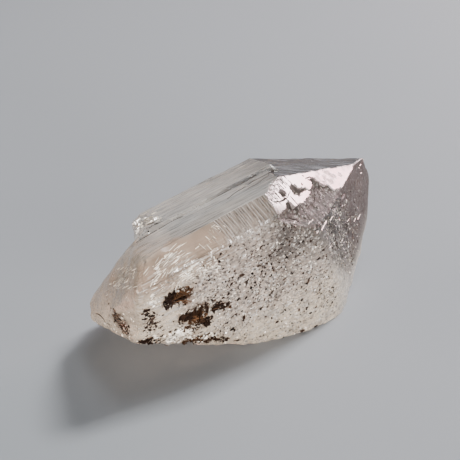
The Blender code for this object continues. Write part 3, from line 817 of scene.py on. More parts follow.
def terraces(name, u, v):
    """Depth of small steps whose flats are parallel to the bright face, as on a stair."""
    normal = PLANES[name][0]
    along, across = AXES[name]
    flat = PLANES["bright_face"][0]
    gu, gv = -(flat @ along) / (flat @ normal), -(flat @ across) / (flat @ normal)
    steep = math.hypot(gu, gv)
    depth = np.zeros(len(u))
    for pu, pv, turn, half, width in TERRACES:
        s, t = turned(u - pu, v - pv, turn)
        ragged = 0.2 * width * facets(u, v, 0.8, 41)
        within = (np.abs(s) < half + ragged) & (np.abs(t) < width + ragged)
        fall = (u - pu) * gu + (v - pv) * gv - steep * (width + 0.1)
        depth = np.where(within, np.minimum(depth, np.maximum(fall, -1.1)), depth)
    return depth


def ridge_phase(u, v, pitch):
    """How far across its growth ridge u, v lies, from 0 to 1, and the share of the ridge that
    its riser takes up, which fades out to the left."""
    x = (u + 0.144 * v) / pitch + 0.7 * lumps_at(u / 2.2, v / 16.0, 1.0, 21)
    i = np.floor(x)
    wide = 0.28 + 0.16 * cell_random(i[:, None].astype(np.int64), 22)
    strength = np.clip(0.80 + 1.2 * lumps_at(i * 3.7 + 0.5, v / 3.2, 1.0, 28), 0.0, 1.0)
    return x - i, wide * strength * smooth((u + 15) / 8) + 0.01


def risers(u, v, pitch):
    """Growth ridges: low treads that rise along the axis and short risers that fall at the angle
    of the bright face; each riser is as wide as its strength there, and thins out to nothing."""
    f, w = ridge_phase(u, v, pitch)
    slope = math.tan(math.radians(90 - RHOMB_TILT))
    return slope * w * pitch * (np.where(f < 1 - w, f / (1 - w), (1 - f) / w) - 0.5)


def relief(name, p, u, v, form):
    """Height of a face above its plane, mm: each face's ridges, facets, pits, ledges and lumps."""
    fine = form.facet_height / MM
    if name == "rest":
        return np.zeros(len(u))
    if name == "ridged_band":
        s, t = turned(u, v, 12)
        scales = 0.15 * facets(s / 3.4, t, 0.8, 23) + 0.12 * lumps(p, 4.5, 24)
        return risers(u, v, form.ridge_pitch / MM) + scales * (1 - 0.9 * smooth((u + 15) / 9))
    if name == "bright_face":
        polished = polish_of(u, v)
        steps = 0.12 * smooth(wave(u / 3.0)) * smooth(-u / 8.0) * (1 - polished)
        depth = form.etch_drop / MM * (0.5 + 0.3 * facets(u, v, 2.4, 33)) + 0.04 * facets(u, v, 0.7, 34)
        depth += 0.30 * np.clip(etch_line(u) + 1.5 - v, 0, 9)
        depth += 0.45 * facets(u, v, 1.0, 48) * smooth(v - etch_line(u) + 0.5)
        depth *= smooth(0.15 + from_right_edge(p) / 4.0)
        depth += 0.16 * facets(u, v, 1.5, 49)
        return -steps - (1 - polished) * np.maximum(depth, 0.05)
    if name == "etched_front":
        height = 0.14 * lumps(p, 3.2, 3) + 0.10 * lumps(p, 9.0, 4)
        height += fine * facets(u, v, 1.15, 35) + 0.5 * fine * facets(u, v, 0.55, 36)
        middle, top, wide, tall = SWELL
        height += tall * (np.exp(-((u - middle) / wide) ** 2) * smooth((top - v) / wide))
        for pu, pv, radius, depth in PITS:
            r = np.hypot(u - pu, v - pv) / radius * (1 + 0.25 * facets(u, v, 0.6, 37))
            height -= np.where(r < 1, depth * (1 - r * r), 0)
        return height
    if name in ("right_side", "right_strip"):
        rough = fine * (1 - 0.65 * smooth((u - 12) / 10))
        height = 0.20 * lumps(p, 4.5, 5) + 0.7 * rough * facets(u, v, 1.3, 38)
        height += 0.35 * rough * facets(u, v, 0.6, 39)
        for pu, pv, way, drop, back in LEDGES:
            past, aside = turned(u - pu, v - pv, way)
            height -= (drop * np.exp(-(aside / 5.0) ** 2) * smooth(past / 1.5 + 0.5)
                       * (1 - smooth(past / back)))
        return height + (terraces(name, u, v) if name == "right_side" else 0.25)
    if name in BACKS:
        bend = 0.9 * lumps(p, 7.0, 25) + 0.05 * v
        strong = smooth(0.5 + 1.2 * lumps_at(np.floor(u / 1.1 + bend) * 3.7, v / 6.0, 1.0, 29))
        return (0.045 * strong * wave(u / 1.1 + bend) + 0.05 * wave(u / 3.7 + bend) * strong
                + 0.035 * facets(u, v / 7.0, 1.6, 30) + 0.12 * lumps(p, 8.0, 7))
    if name in TOPS:
        lines = 0.11 * facets(u / 9.0, v, 1.1, 26) + 0.08 * facets(u / 6.0, v, 0.55, 27)
        if name == "steep_top":
            far = np.max([p @ PLANES[k][0] - PLANES[k][1] for k in ("back", "top_back")], axis=0)
            lines += 0.55 * smooth(1 + far / 6)
        return 0.05 * lumps(p, 9.0, 8) + lines
    if name in BROKEN:
        return 0.35 * facets(u, v, 2.0, 45) + 0.2 * facets(u, v, 0.9, 46)
    if name in UNDERS:
        return 0.42 * lumps(p, 5.0, 9) + 0.22 * lumps(p, 2.4, 10) + 0.7 * fine * facets(u, v, 1.2, 40)
    if name in BUTTS:
        return (0.35 + 0.25 * (name == "butt_upper") + 0.30 * lumps(p, 6.0, 11)
                + 0.16 * lumps(p, 2.6, 12) + 0.4 * fine * facets(u, v, 1.4, 42))
    return 0.1 * lumps(p, 4.0, 13)


def colour_mix(a, b, t):
    """Colours a and b mixed by t, one mix for each point."""
    return a + (np.asarray(b) - a) * np.clip(np.broadcast_to(t, len(a)), 0, 1)[:, None]


def looks_of(name, p, u, v, colours, form):
    """Colour and finish of a face at u, v: tint, frost, stain, flecks with painted sparkles, and streaks with
    painted glints. Frost runs from 0, polished, to about 1.6, dull; the other three are shares from 0 to 1.
    The tint is a ground colour with layers laid over it, each a colour and how much it covers; some of the
    layers are painted highlight or shade, as marked where they are laid."""
    clear, smoky, frosted, milky, shaded = (
        np.array(getattr(colours, k)[:]) for k in ("clear", "smoky", "frosted", "milky", "shaded"))
    ground, layers = clear, []
    frost, stain, fleck_and_sparkle, streak_and_glint = 0.3, 0.0, 0.0, 0.0
    if name == "ridged_band":
        f, w = ridge_phase(u, v, form.ridge_pitch / MM)
        layers = [(smoky, smooth((13 - v) / 3) * (0.95 - 0.45 * smooth((u + 12) / 8))),
                  (0.6 * smoky, 0.8 * patches(u, v, 55) * smooth((-u - 6) / 6)),
                  (shaded, 0.52 * smooth((u + 12) / 10)),
                  # Painted highlight on each riser where it would mirror the light, and painted shade in a
                  # dark line at the foot of the next tread.
                  ((1.0, 0.97, 0.94), 0.6 * ((f > 1 - w) & (w > 0.12))),
                  (shaded, 0.8 * ((f < 0.25) & (w > 0.16)))]
        frost = 0.10 + 0.2 * smooth((4.5 - v) / 4)
        streak_and_glint, fleck_and_sparkle = smooth((-u - 8) / 7) * smooth((9 - v) / 4), 0.35 * smooth((5 - v) / 4)
    elif name == "bright_face":
        etched = 1 - polish_of(u, v)
        low = smooth((etch_line(u) + 2 - v) / 3)
        # Painted reflection: patches in the pink of the light that the polished part mirrors. Painted
        # highlight: a light line along its right edge.
        rosy_reflection = smooth(0.55 + 0.9 * lumps_at(u / 1.4, v, 1.3, 58)) * smooth((u - 2) / 8)
        rim = 1 - smooth(from_right_edge(p) / 0.5 - 0.4)
        layers = [((0.86, 0.70, 0.695), 1 - etched), ((0.62, 0.36, 0.37), 0.8 * rosy_reflection * (1 - etched)),
                  ((1.0, 0.94, 0.92), rim * (1 - etched)),
                  (np.array((0.70, 0.66, 0.57)) * shaded, etched)]
        frost = etched * (1.6 - 0.2 * low) + 0.75 * rosy_reflection * (1 - rim) * (1 - etched)
        fleck_and_sparkle = 0.85 * etched * low
    elif name == "etched_front":
        clearer = np.clip(smooth((v - 31) / 4) * smooth((-u - 5) / 5) + smooth((-u - 18) / 6), 0, 1)
        low = smooth((17 - v) / 10) + smooth((-u - 9) / 9) * smooth((27 - v) / 6)
        low += smooth((-u - 18) / 6) * smooth((34.5 - v) / 3)
        ground = frosted
        layers = [(shaded, 0.45 * smooth((v - 12) / 14) * smooth((u + 4) / 14)),
                  (shaded, 0.7 * smooth((v - 21) / 6) * smooth((u + 3) / 8)),
                  (smoky * (1 - 0.4 * patches(u, v, 56))[:, None], clearer * 0.8),
                  (milky, 0.9 * np.clip(low, 0, 1))]
        frost = 0.95 - 0.65 * clearer
        fleck_and_sparkle = (0.15 + 0.85 * frost) * (1 - 0.45 * np.clip(low, 0, 1))
        streak_and_glint = np.clip(clearer + 0.6 * low, 0, 1)
    elif name in ("right_side", "right_strip"):
        tip = smooth((u - 12) / 10)
        ground = (0.034, 0.027, 0.024)
        layers = [(frosted, 0.55 * smooth((13 - v) / 12) * smooth((6 - u) / 10)),
                  (smoky * 0.3, 0.8 * smooth((8 - v) / 6) * smooth((u - 2) / 8)),
                  ((0.034, 0.015, 0.008), tip)]
        frost, fleck_and_sparkle = 0.95 + 0.15 * tip, 0.95 - 0.6 * tip
    elif name in TOPS:
        ground = (0.98, 0.965, 0.95)
        layers = [(shaded, 0.42 * smooth((u + 1) / 16)),
                  ((1.0, 0.93, 0.86), 0.8 * smooth((-v - 19) / 4) * smooth((6 - u) / 8))]
        frost, streak_and_glint = 0.10 + 0.12 * smooth((u - 2) / 14), 0.85 + 0.15 * smooth((-u - 8) / 8)
        if name == "plate_top":
            # The plate's left end is painted lighter: partly the white of its broken quartz, partly painted
            # highlight.
            layers.append(((1.0, 0.98, 0.95), 0.9 * smooth((-u - 11) / 3)))
            fleck_and_sparkle = 0.9 * smooth((-u - 10) / 3)
        if name == "steep_top":
            ground, layers, streak_and_glint = (0.19, 0.19, 0.21), [], 0.35
    elif name in ("plate_far", "plate_front"):
        far = name == "plate_far"
        layers = [(0.8 * shaded, 0.95 * smooth((u + 6) / 12) + 1.0 * far)]
        frost, streak_and_glint = 0.6 + 0.8 * far, 0.5
    elif name in BROKEN:
        # Near white: partly the white of broken quartz, partly painted highlight.
        ground, frost, fleck_and_sparkle, streak_and_glint = (0.95, 0.95, 0.95), 0.6, 0.8, 0.6
    elif name in UNDERS:
        ground, layers = milky, [(clear, 0.8 * name.startswith("foot"))]
        frost, fleck_and_sparkle, streak_and_glint = 0.8, 0.35, 0.4
    elif name in BUTTS:
        ground = smoky
        layers = [(milky, 0.75 + 0.3 * lumps(p, 7.0, 54) - 0.2 * (name == "butt_upper"))]
        frost, fleck_and_sparkle, streak_and_glint = 0.55, 0.3, 0.5
        if name == "butt_lower":
            layers.append((milky, 0.95 * smooth((29 - v) / 6)))
    if name in RUST_SPOTS:
        strength, reach, drawn_out, seed, spots = RUST_SPOTS[name]
        ragged = 1 + 0.5 * lumps(p, 1.2, seed)
        for pu, pv, wide in spots:
            ring = np.hypot((u - pu) / drawn_out, v - pv) / wide * ragged
            stain = np.maximum(stain, strength * smooth(reach - ring))
    tint = np.tile(ground, (len(u), 1))
    for shade, amount in layers:
        tint = colour_mix(tint, shade, amount)
    return np.column_stack([tint, *(np.broadcast_to(x, len(u)) for x in (frost, stain, fleck_and_sparkle, streak_and_glint))])


def looks_on(name, p, colours, form):
    """The looks of a face at points p, with its neighbours' by their shares."""
    near, share, cut, lean = face_blend(name, p)
    total = np.zeros((len(p), 7))
    for i, k in enumerate(near):
        along, across = AXES[k]
        total += share[:, i:i + 1] * looks_of(k, p, p @ along, p @ across, colours, form)
    ragged = 1 + 0.35 * lumps(p, 2.2, 57)
    for face, u, v, radius, tone, strong in CLOUDS:
        ring = np.linalg.norm(p - face_points(face, [u], [v]), axis=1) / radius * ragged
        cover = strong * smooth(1.5 - ring)
        total[:, :3] = colour_mix(total[:, :3], getattr(colours, tone)[:], cover)
    return total


def clusters_of(names):
    """Faces that meet at a point, in groups that run into each other over rounded edges."""
    groups = []
    for name in names:
        joined = [g for g in groups if any(is_soft(name, k) for k in g)]
        rest = [g for g in groups if g not in joined]
        groups = rest + [sum(joined, []) + [name]]
    return groups


def moved_points(coords, owner_pairs, form):
    """Points moved so that each one suits the shift of every face it lies on (least squares)."""
    lies_on = np.zeros((len(coords), len(owner_pairs)), bool)
    lean = np.zeros((len(coords), len(owner_pairs), 3))
    far = np.zeros(lies_on.shape)
    for number, (name, ids) in enumerate(owner_pairs):
        lies_on[ids, number] = True
        lean[ids, number], far[ids, number] = face_shift(name, coords[ids], form)
    moved = coords.copy()
    kinds, which = np.unique(lies_on, axis=0, return_inverse=True)
    which = which.reshape(-1)
    worn = form.edge_wear / MM * (1.0 + 0.8 * lumps(coords, 1.6, 61))
    for number, kind in enumerate(kinds):
        at = np.flatnonzero(which == number)
        numbers = {owner_pairs[i][0]: i for i in np.flatnonzero(kind)}
        if not numbers:
            continue
        groups = [[numbers[k] for k in g] for g in clusters_of(sorted(numbers))]
        rows = np.stack([unit(lean[at][:, g].mean(1)) for g in groups], 1)
        tall = np.stack([far[at][:, g].mean(1) for g in groups], 1)
        if len(groups) > 1:
            tall = tall - worn[at, None]
        gram = rows @ rows.transpose(0, 2, 1) + EASE * np.eye(len(groups))
        moved[at] += np.einsum("nij,ni->nj", rows, np.linalg.solve(gram, tall[..., None])[..., 0])
        moved[at, 2] = -REST_DROP if "rest" in numbers else np.maximum(moved[at, 2], 0.2 - REST_DROP)
    middle = np.array([*PLAN_CENTRE, 16.0])
    for x, y, z, radius, depth in CHIPS:
        d = np.linalg.norm(coords - (x, y, z), axis=1) / radius
        weight = np.where(d < 1, (1 - d * d) ** 2, 0.0) * depth * (1 + 0.5 * lumps(coords, 0.9, 62))
        moved += unit(middle - coords) * weight[:, None]
    flat = lies_on[:, [i for i, (k, ids) in enumerate(owner_pairs) if k == "rest"]].any(1)
    moved[flat, 2] = -REST_DROP
    return moved


def on_face(name, u, v, form, lift=0.0):
    """Points in the reference frame that stand lift mm above a face's relief at u, v, and the
    surface's direction there."""
    flat = face_points(name, u, v)
    lean, far = face_shift(name, flat, form)
    return flat + (far / (1 + EASE) + lift)[:, None] * lean, lean


def on_outline(name, u, v, margin):
    """True where u, v lies inside a face's outline, at least margin mm from its edge."""
    points, outlines = face_outlines()
    along, across = AXES[name]
    edges = np.array(outlines[name])
    flat = np.stack([points @ along, points @ across], -1)
    a, b = flat[edges[:, 0]], flat[edges[:, 1]]
    w = np.stack([u, v], -1)
    return inside(w, a, b) & (gap_to(w, a, b) > margin)


def to_model(points):
    """Points in the reference frame, mm, taken to the model's frame in metres and held just
    inside the solid's own box."""
    low, high = np.array(CAD_BOX[0]) + 2e-5, np.array(CAD_BOX[1]) - 2e-5
    low[2] = 0.0
    return np.clip((np.asarray(points) - (*PLAN_CENTRE, -REST_DROP)) * MM, low, high)


def new_piece(name, verts, faces, material):
    """A mesh object at the origin, riding on the crystal's body, smooth shaded."""
    mesh = bpy.data.meshes.new(name)
    mesh.from_pydata(verts, [], faces)
    mesh.materials.append(material)
    mesh.shade_smooth()
    obj = bpy.data.objects.new(name, mesh)
    bpy.context.scene.collection.objects.link(obj)
    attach(obj, "root")
    return obj


def outward(mesh):
    """Turns every face of a closed mesh outwards."""
    bm = bmesh.new()
    bm.from_mesh(mesh)
    bmesh.ops.recalc_face_normals(bm, faces=bm.faces)
    bm.to_mesh(mesh)
    bm.free()


def strewn_piece(name, parts, material):
    """One piece of many closed parts, each given as points, faces, and a brightness for the whole
    part, for each shape in it or for each point; its faces turned outwards."""
    points, faces, tones, total = [], [], [], 0
    for corners, shape, tone in parts:
        points.append(corners)
        faces += [[i + total for i in face] for face in shape]
        tones.append(np.repeat(tone, len(corners) // max(1, len(tone))))
        total += len(corners)
    piece = new_piece(name, to_model(np.vstack(points)).tolist(), faces, material)
    layer = piece.data.attributes.new("tone", "FLOAT", "POINT")
    layer.data.foreach_set("value", np.concatenate(tones).astype(np.float32))
    outward(piece.data)
    return piece


def feed(tree, value, socket):
    """Gives an input another node's output or a constant."""
    if isinstance(value, bpy.types.NodeSocket):
        tree.links.new(value, socket)
    else:
        socket.default_value = value


def wire(tree, made, *inputs, **values):
    """Feeds a node's first inputs in order, then its settings, or inputs of that name."""
    for key, value in values.items():
        if hasattr(made, key):
            setattr(made, key, value)
        else:
            feed(tree, value, made.inputs[key.replace("_", " ")])
    for value, socket in zip(inputs, made.inputs):
        feed(tree, value, socket)
    return made


def node(tree, kind, *inputs, **values):
    """A new shader node with its inputs and settings, placed in rows as the nodes are made."""
    row, column = divmod(len(tree.nodes), 10)
    made = tree.nodes.new("ShaderNode" + kind)
    made.location = (column * 200 - 2300, -row * 320)
    return wire(tree, made, *inputs, **values)


def new_material(name):
    """A node material with its Principled shader and the object's coordinates."""
    material = bpy.data.materials.new(name)
    material.use_nodes = True
    tree = material.node_tree
    return material, tree, tree.nodes["Principled BSDF"], node(tree, "TexCoord").outputs["Object"]


def noise(tree, coords, scale, detail):
    """A noise texture on object coordinates; scale is in cells per metre."""
    return node(tree, "TexNoise", coords, Scale=scale, Detail=detail).outputs["Fac"]


def cells(tree, coords, scale):
    """Three random numbers for each cell of a Voronoi pattern; scale is in cells per metre."""
    made = node(tree, "TexVoronoi", coords, Scale=scale)
    return node(tree, "SeparateColor", made.outputs["Color"]).outputs


def ramp(tree, value, *ends):
    """A value mapped from one range to another, held at the ends: from, to, then from, to."""
    return node(tree, "MapRange", value, *ends).outputs["Result"]


def maths(tree, operation, a, b):
    """One arithmetic step on two values or sockets."""
    return node(tree, "Math", a, b, operation=operation).outputs[0]


def mixed_colour(tree, factor, a, b):
    """A colour mix; a and b are colours or sockets."""
    made = node(tree, "Mix", factor, data_type="RGBA")
    feed(tree, a, made.inputs[6])
    feed(tree, b, made.inputs[7])
    return made.outputs[2]


def bump(tree, height, depth, **strength):
    """A surface direction from a height of so many mm."""
    return node(tree, "Bump", Height=height, Distance=depth * MM, **strength).outputs["Normal"]


def axis_coords(tree, coords, stretch):
    """Object coordinates turned to the crystal's axis and drawn out along it."""
    axis, level, rising = axis_frame()
    turn = Matrix((axis, rising, level)).transposed().to_euler()
    return node(tree, "Mapping", coords, vector_type="TEXTURE", Rotation=turn,
                Scale=(stretch, 1.0, 1.0)).outputs["Vector"]


def quartz_material(colours):
    """See-through quartz whose colour, frosting, stains, flecks and streaks come from the mesh, with painted
    sparkles in white cells and painted glints in pale lines.
    """
    material, tree, shader, coords = new_material("quartz_faces")
    grown, drawn = axis_coords(tree, coords, 1.7), axis_coords(tree, coords, 15.0)
    tint = node(tree, "Attribute", attribute_name="tint").outputs
    finish = node(tree, "Attribute", attribute_name="finish")
    frost, stain, fleck_and_sparkle = node(tree, "SeparateXYZ", finish.outputs["Vector"]).outputs
    streak_and_glint = tint["Alpha"]
    cloud, mottle = noise(tree, coords, 170.0, 4.0), noise(tree, grown, 620.0, 3.0)
    shades, glints, grains = cells(tree, grown, 2900.0)[:3]
    fair_lines, dull_lines = cells(tree, drawn, 3800.0)[:2]

    def times(a, b):
        return maths(tree, "MULTIPLY", a, b)

    def plus(a, b):
        return maths(tree, "ADD", a, b)

    uneven = plus(ramp(tree, mottle, 0.35, 0.65, -0.30, 0.10), ramp(tree, shades, 0.0, 1.0, -0.36, 0.36))
    shade = plus(ramp(tree, cloud, 0.3, 0.7, 0.84, 1.10), times(uneven, fleck_and_sparkle))
    shade = plus(shade, times(ramp(tree, dull_lines, 0.62, 0.95, 0.0, -0.5), streak_and_glint))
    plain = node(tree, "VectorMath", tint["Color"], operation="SCALE", Scale=shade).outputs[0]
    # Painted highlights: a share of the cells turns near white as sparkles, and the pale lines along the
    # streaks are painted partly as glints of light and partly as pale growth lines.
    glint = times(ramp(tree, glints, 0.87, 0.90, 0.0, 1.0), fleck_and_sparkle)
    pale = maths(tree, "MAXIMUM", glint, times(ramp(tree, fair_lines, 0.84, 0.88, 0.0, 0.9), streak_and_glint))
    pale = times(pale, ramp(tree, tint["Fac"], 0.03, 0.5, 0.35, 1.0))
    dark = times(ramp(tree, grains, 0.89, 0.91, 0.0, 0.95), fleck_and_sparkle)
    blot = times(stain, ramp(tree, mottle, 0.40, 0.58, 1.25, 0.35))
    base = mixed_colour(tree, pale, plain, (1.0, 0.95, 0.88, 1.0))
    base = mixed_colour(tree, dark, base, (0.07, 0.055, 0.05, 1.0))
    base = mixed_colour(tree, blot, base, (*colours.rust, 1.0))
    rough = plus(ramp(tree, frost, 0.0, 2.0, 0.04, 0.72), ramp(tree, cloud, 0.3, 0.7, -0.02, 0.05))
    rough = maths(tree, "MAXIMUM", maths(tree, "SUBTRACT", rough, times(pale, 0.22)), 0.03)
    grain = bump(tree, noise(tree, grown, 2400.0, 3.0), 0.15, Strength=ramp(tree, frost, 0.0, 1.0, 0.04, 0.9))
    wire(tree, shader, Base_Color=base, Roughness=rough, Normal=grain, IOR=QUARTZ_IOR,
         Transmission_Weight=CLEARNESS, Specular_IOR_Level=ramp(tree, frost, 0.95, 1.2, 0.5, 0.08))
    absorb = node(tree, "VolumeAbsorption", Color=ABSORBED, Density=ABSORPTION)
    wire(tree, tree.nodes["Material Output"], Volume=absorb.outputs["Volume"])
    return material


def toned_material(name, dark, bright, fineness, detail, mottle, rough, **finish):
    """A material between two colours, by the mesh's own tone attribute and a noise that is so
    fine and detailed; mottle and rough give the range of each over that noise."""
    material, tree, shader, coords = new_material(name)
    tone = node(tree, "Attribute", attribute_name="tone").outputs["Fac"]
    cloud = noise(tree, coords, fineness, detail)
    share = maths(tree, "MULTIPLY", tone, ramp(tree, cloud, 0.3, 0.7, *mottle))
    wire(tree, shader, Base_Color=mixed_colour(tree, share, (*dark, 1.0), (*bright, 1.0)),
         Roughness=ramp(tree, cloud, 0.3, 0.7, *rough), **finish)
    return material, tree, shader, coords


def mineral_material(name, dark, bright, rough):
    """A dull mineral between two colours, with a fine grain."""
    material, tree, shader, coords = toned_material(
        name, dark, bright, 1100.0, 4.0, (0.3, 1.5), (rough - 0.1, rough + 0.15), Specular_IOR_Level=0.08)
    wire(tree, shader, Normal=bump(tree, noise(tree, coords, 2600.0, 3.0), 0.04))
    return material


def set_looks(mesh, looks):
    """Stores tint with the share of streaks and painted glints as its fourth number, and frost, stain
    and the share of flecks and painted sparkles, on the corners of every triangle."""
    for name, kind, key, parts in (("tint", "FLOAT_COLOR", "color", (0, 1, 2, 6)),
                                   ("finish", "FLOAT_VECTOR", "vector", (3, 4, 5))):
        layer = mesh.attributes.new(name, kind, "CORNER")
        layer.data.foreach_set(key, looks[..., parts].astype(np.float32).ravel())


def sharpen_borders(mesh, triangles, faces, crisp):
    """Marks the edges between two faces as sharp where the table says that they meet crisply."""
    pairs = np.sort(np.concatenate([triangles[:, [i, (i + 1) % 3]] for i in range(3)]), axis=1)
    owner = np.tile(faces, 3)
    order = np.lexsort((pairs[:, 1], pairs[:, 0]))
    pairs, owner = pairs[order], owner[order]
    same = (pairs[1:] == pairs[:-1]).all(1)
    border = pairs[:-1][same & crisp[owner[1:], owner[:-1]]]
    edges = np.empty(len(mesh.edges) * 2, np.int32)
    mesh.edges.foreach_get("vertices", edges)
    edges = np.sort(edges.reshape(-1, 2).astype(np.int64), axis=1)
    scale = int(edges.max()) + 1
    sharp = np.isin(edges[:, 0] * scale + edges[:, 1], border[:, 0] * scale + border[:, 1])
    mesh.edges.foreach_set("use_edge_sharp", sharp)


def repeated(faces, points, count):
    """The faces of one small shape with so many points, repeated for a number of such shapes."""
    shift = (np.arange(count) * points)[:, None, None]
    return (faces[None] + shift).reshape(-1, faces.shape[1]).tolist()


def ring_walls(rings, around):
    """Four-sided faces between neighbouring rings with so many points around each."""
    r, s = np.meshgrid(np.arange(rings - 1), np.arange(around), indexing="ij")
    n = (s + 1) % around
    walls = [r * around + s, r * around + n, (r + 1) * around + n, (r + 1) * around + s]
    return np.stack(walls, -1).reshape(-1, 4)


def blobs(centre, a, b, c, rings, segments, ragged, seed):
    """Closed lumps: points of a sphere, latitude by longitude, scaled by three half axes a, b, c
    and pushed in and out at random; all lumps in one array."""
    lat = np.linspace(-math.pi / 2, math.pi / 2, rings + 2)[1:-1]
    lon = np.arange(segments) * 2 * math.pi / segments
    la, lo = np.meshgrid(lat, lon, indexing="ij")
    ball = np.stack([np.cos(la) * np.cos(lo), np.cos(la) * np.sin(lo), np.sin(la)], -1).reshape(-1, 3)
    ball = np.vstack([ball, (0, 0, -1), (0, 0, 1)])
    k, m = np.meshgrid(np.arange(len(centre)), np.arange(len(ball)), indexing="ij")
    push = 1 + ragged * cell_random(np.stack([k, m], -1), seed)
    points = (centre[:, None, :] + push[..., None] * (
        ball[:, 0:1] * a[:, None, :] + ball[:, 1:2] * b[:, None, :] + ball[:, 2:3] * c[:, None, :]))
    s = np.arange(segments)
    n = (s + 1) % segments
    low, top = np.full(segments, rings * segments), (rings - 1) * segments
    caps = np.vstack([np.stack([n, s, low], -1), np.stack([top + s, top + n, low + 1], -1)])
    shapes = [repeated(f, len(ball), len(centre)) for f in (ring_walls(rings, segments), caps)]
    return points.reshape(-1, 3), sum(shapes, [])


def bars(rings):
    """Closed four-cornered bars through rings of corners; one row of rings for each bar."""
    steps = rings.shape[1]
    ends = np.array([[3, 2, 1, 0], [steps * 4 - i for i in (4, 3, 2, 1)]])
    return rings.reshape(-1, 3), repeated(np.vstack([ring_walls(steps, 4), ends]), steps * 4, len(rings))


def blades(start, way, side, up, length, width, thick, curl, steps):
    """Tapered curved blades: a four-cornered profile carried along an arc that bends to the side,
    narrowing to both ends; all blades in one array."""
    t = np.linspace(0, 1, steps)
    taper = np.sin(math.pi * np.clip(t * 0.88 + 0.06, 0, 1)) ** 0.8
    angle, run = curl[:, None] * t, length[:, None] * t
    path = (start[:, None, :] + (run * np.cos(angle))[..., None] * way[:, None, :]
            + (run * np.sin(angle))[..., None] * side[:, None, :])
    across = -np.sin(angle)[..., None] * way[:, None, :] + np.cos(angle)[..., None] * side[:, None, :]
    w = (width[:, None] * taper)[..., None] * across
    h = (thick[:, None] * taper)[..., None] * up[:, None, :]
    return bars(np.stack([path + w, path + h, path - w, path - h], axis=2))


def plates(centre, lean, facing, way, long, wide, sunk):
    """Small five-sided plates: corners at fixed angles round an ellipse in the plane that each
    plate faces, and the same corners, drawn in, sunk into the surface below."""
    side = unit(np.cross(facing, way))
    way = np.cross(side, facing)
    turn = np.arange(5) * 2 * math.pi / 5
    ring = (np.cos(turn)[None, :, None] * (way * long[:, None])[:, None, :]
            + np.sin(turn)[None, :, None] * (side * wide[:, None])[:, None, :])
    top = centre[:, None, :] + ring
    low = centre[:, None, :] + 0.6 * ring - (lean * sunk)[:, None, :]
    k = np.arange(5)
    walls = np.stack([k, k + 5, (k + 1) % 5 + 5, (k + 1) % 5], -1)
    shapes = [repeated(f, 10, len(centre)) for f in (walls, np.array([k, k[::-1] + 5]))]
    return np.concatenate([top, low], 1).reshape(-1, 3), sum(shapes, [])


class QUARTZ_OT_crystal(Operator):
    """Build the crystal's faces with their ridges, facets, terraces and chips"""

    bl_idname = "quartz.crystal"
    bl_label = "Crystal"

    def execute(self, context):
        form, colours = context.scene.quartz_form, context.scene.quartz_colours
        coords, triangles, faces, owner_pairs = crystal_lattice()
        looks = np.zeros((len(triangles), 3, 7))
        for number, (name, ids) in enumerate(owner_pairs):
            own = faces == number
            at = np.searchsorted(ids, triangles[own])
            looks[own] = looks_on(name, coords[ids], colours, form)[at]
        moved = moved_points(coords, owner_pairs, form)
        used, place = np.unique(triangles, return_inverse=True)
        triangles = place.reshape(-1, 3)
        solid = to_model(moved[used])
        corner = solid[triangles]
        volume = np.einsum("ij,ij->i", corner[:, 0], np.cross(corner[:, 1], corner[:, 2])).sum() / 6
        if volume < 0:
            triangles, looks = triangles[:, ::-1], looks[:, ::-1]
        crystal = new_piece("crystal", solid.tolist(), triangles.tolist(), quartz_material(colours))
        set_looks(crystal.data, looks)
        names = [k for k, ids in owner_pairs]
        faceted = np.isin(faces, [names.index(k) for k in FACETED])
        crystal.data.polygons.foreach_set("use_smooth", ~faceted)
        crisp = np.array([[a != b and not is_soft(a, b) for b in names] for a in names])
        sharpen_borders(crystal.data, triangles, faces, crisp)
        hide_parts(NODE)
        return {"FINISHED"}


class QUARTZ_OT_specks(Operator):
    """Scatter dark mineral grains over the etched front, the right side and the cloudy end"""

    bl_idname = "quartz.specks"
    bl_label = "Dark specks"

    def execute(self, context):
        form, colours = context.scene.quartz_form, context.scene.quartz_colours
        random = np.random.default_rng(SPECK_SEED)
        want = context.scene.quartz_counts.specks
        u, v = random.uniform(-16, 26, want * 6), random.uniform(-3, 37, want * 6)
        dense = 0.25 + 0.75 * np.exp(-((u + 1) / 10) ** 2 - ((v - 25) / 9) ** 2)
        dense *= 0.4 + 0.6 * smooth(lumps_at(u, v, 3.0, 72) + 0.6)
        keep = on_outline("etched_front", u, v, 0.6) & (random.random(len(u)) < dense)
        u, v = u[keep][:want], v[keep][:want]
        sizes = 0.07 + 0.15 * random.random(len(u)) ** 3 + 0.20 * (random.random(len(u)) > 0.96)
        spots = [("etched_front", u, v, sizes), ("etched_front", *np.array(BIG_SPECKS).T)]
        for name, n, u, along, v, across, small, spread in rows_of(SPECK_FIELDS):
            spots.append((name, random.normal(u, along, n), random.normal(v, across, n),
                          small + spread * random.random(n) ** 2.5))
        parts = []
        for name, u, v, size in spots:
            keep = on_outline(name, u, v, 0.35)
            u, v, size = u[keep], v[keep], size[keep]
            centre, lean = on_face(name, u, v, form)
            way = headings(name, random.normal(0.5, 0.8, len(u)))
            a = way * (size * random.uniform(0.9, 2.2, len(u)))[:, None]
            b, c = unit(np.cross(lean, a)) * size[:, None], lean * (0.3 * size + 0.05)[:, None]
            parts.append((*blobs(centre, a, b, c, 2, 7, 0.35, 71), random.random(len(u)) ** 2))
        soot = mineral_material("dark_mineral", colours.soot, (0.06, 0.035, 0.025), 0.55)
        strewn_piece("dark_specks", parts, soot)
        return {"FINISHED"}


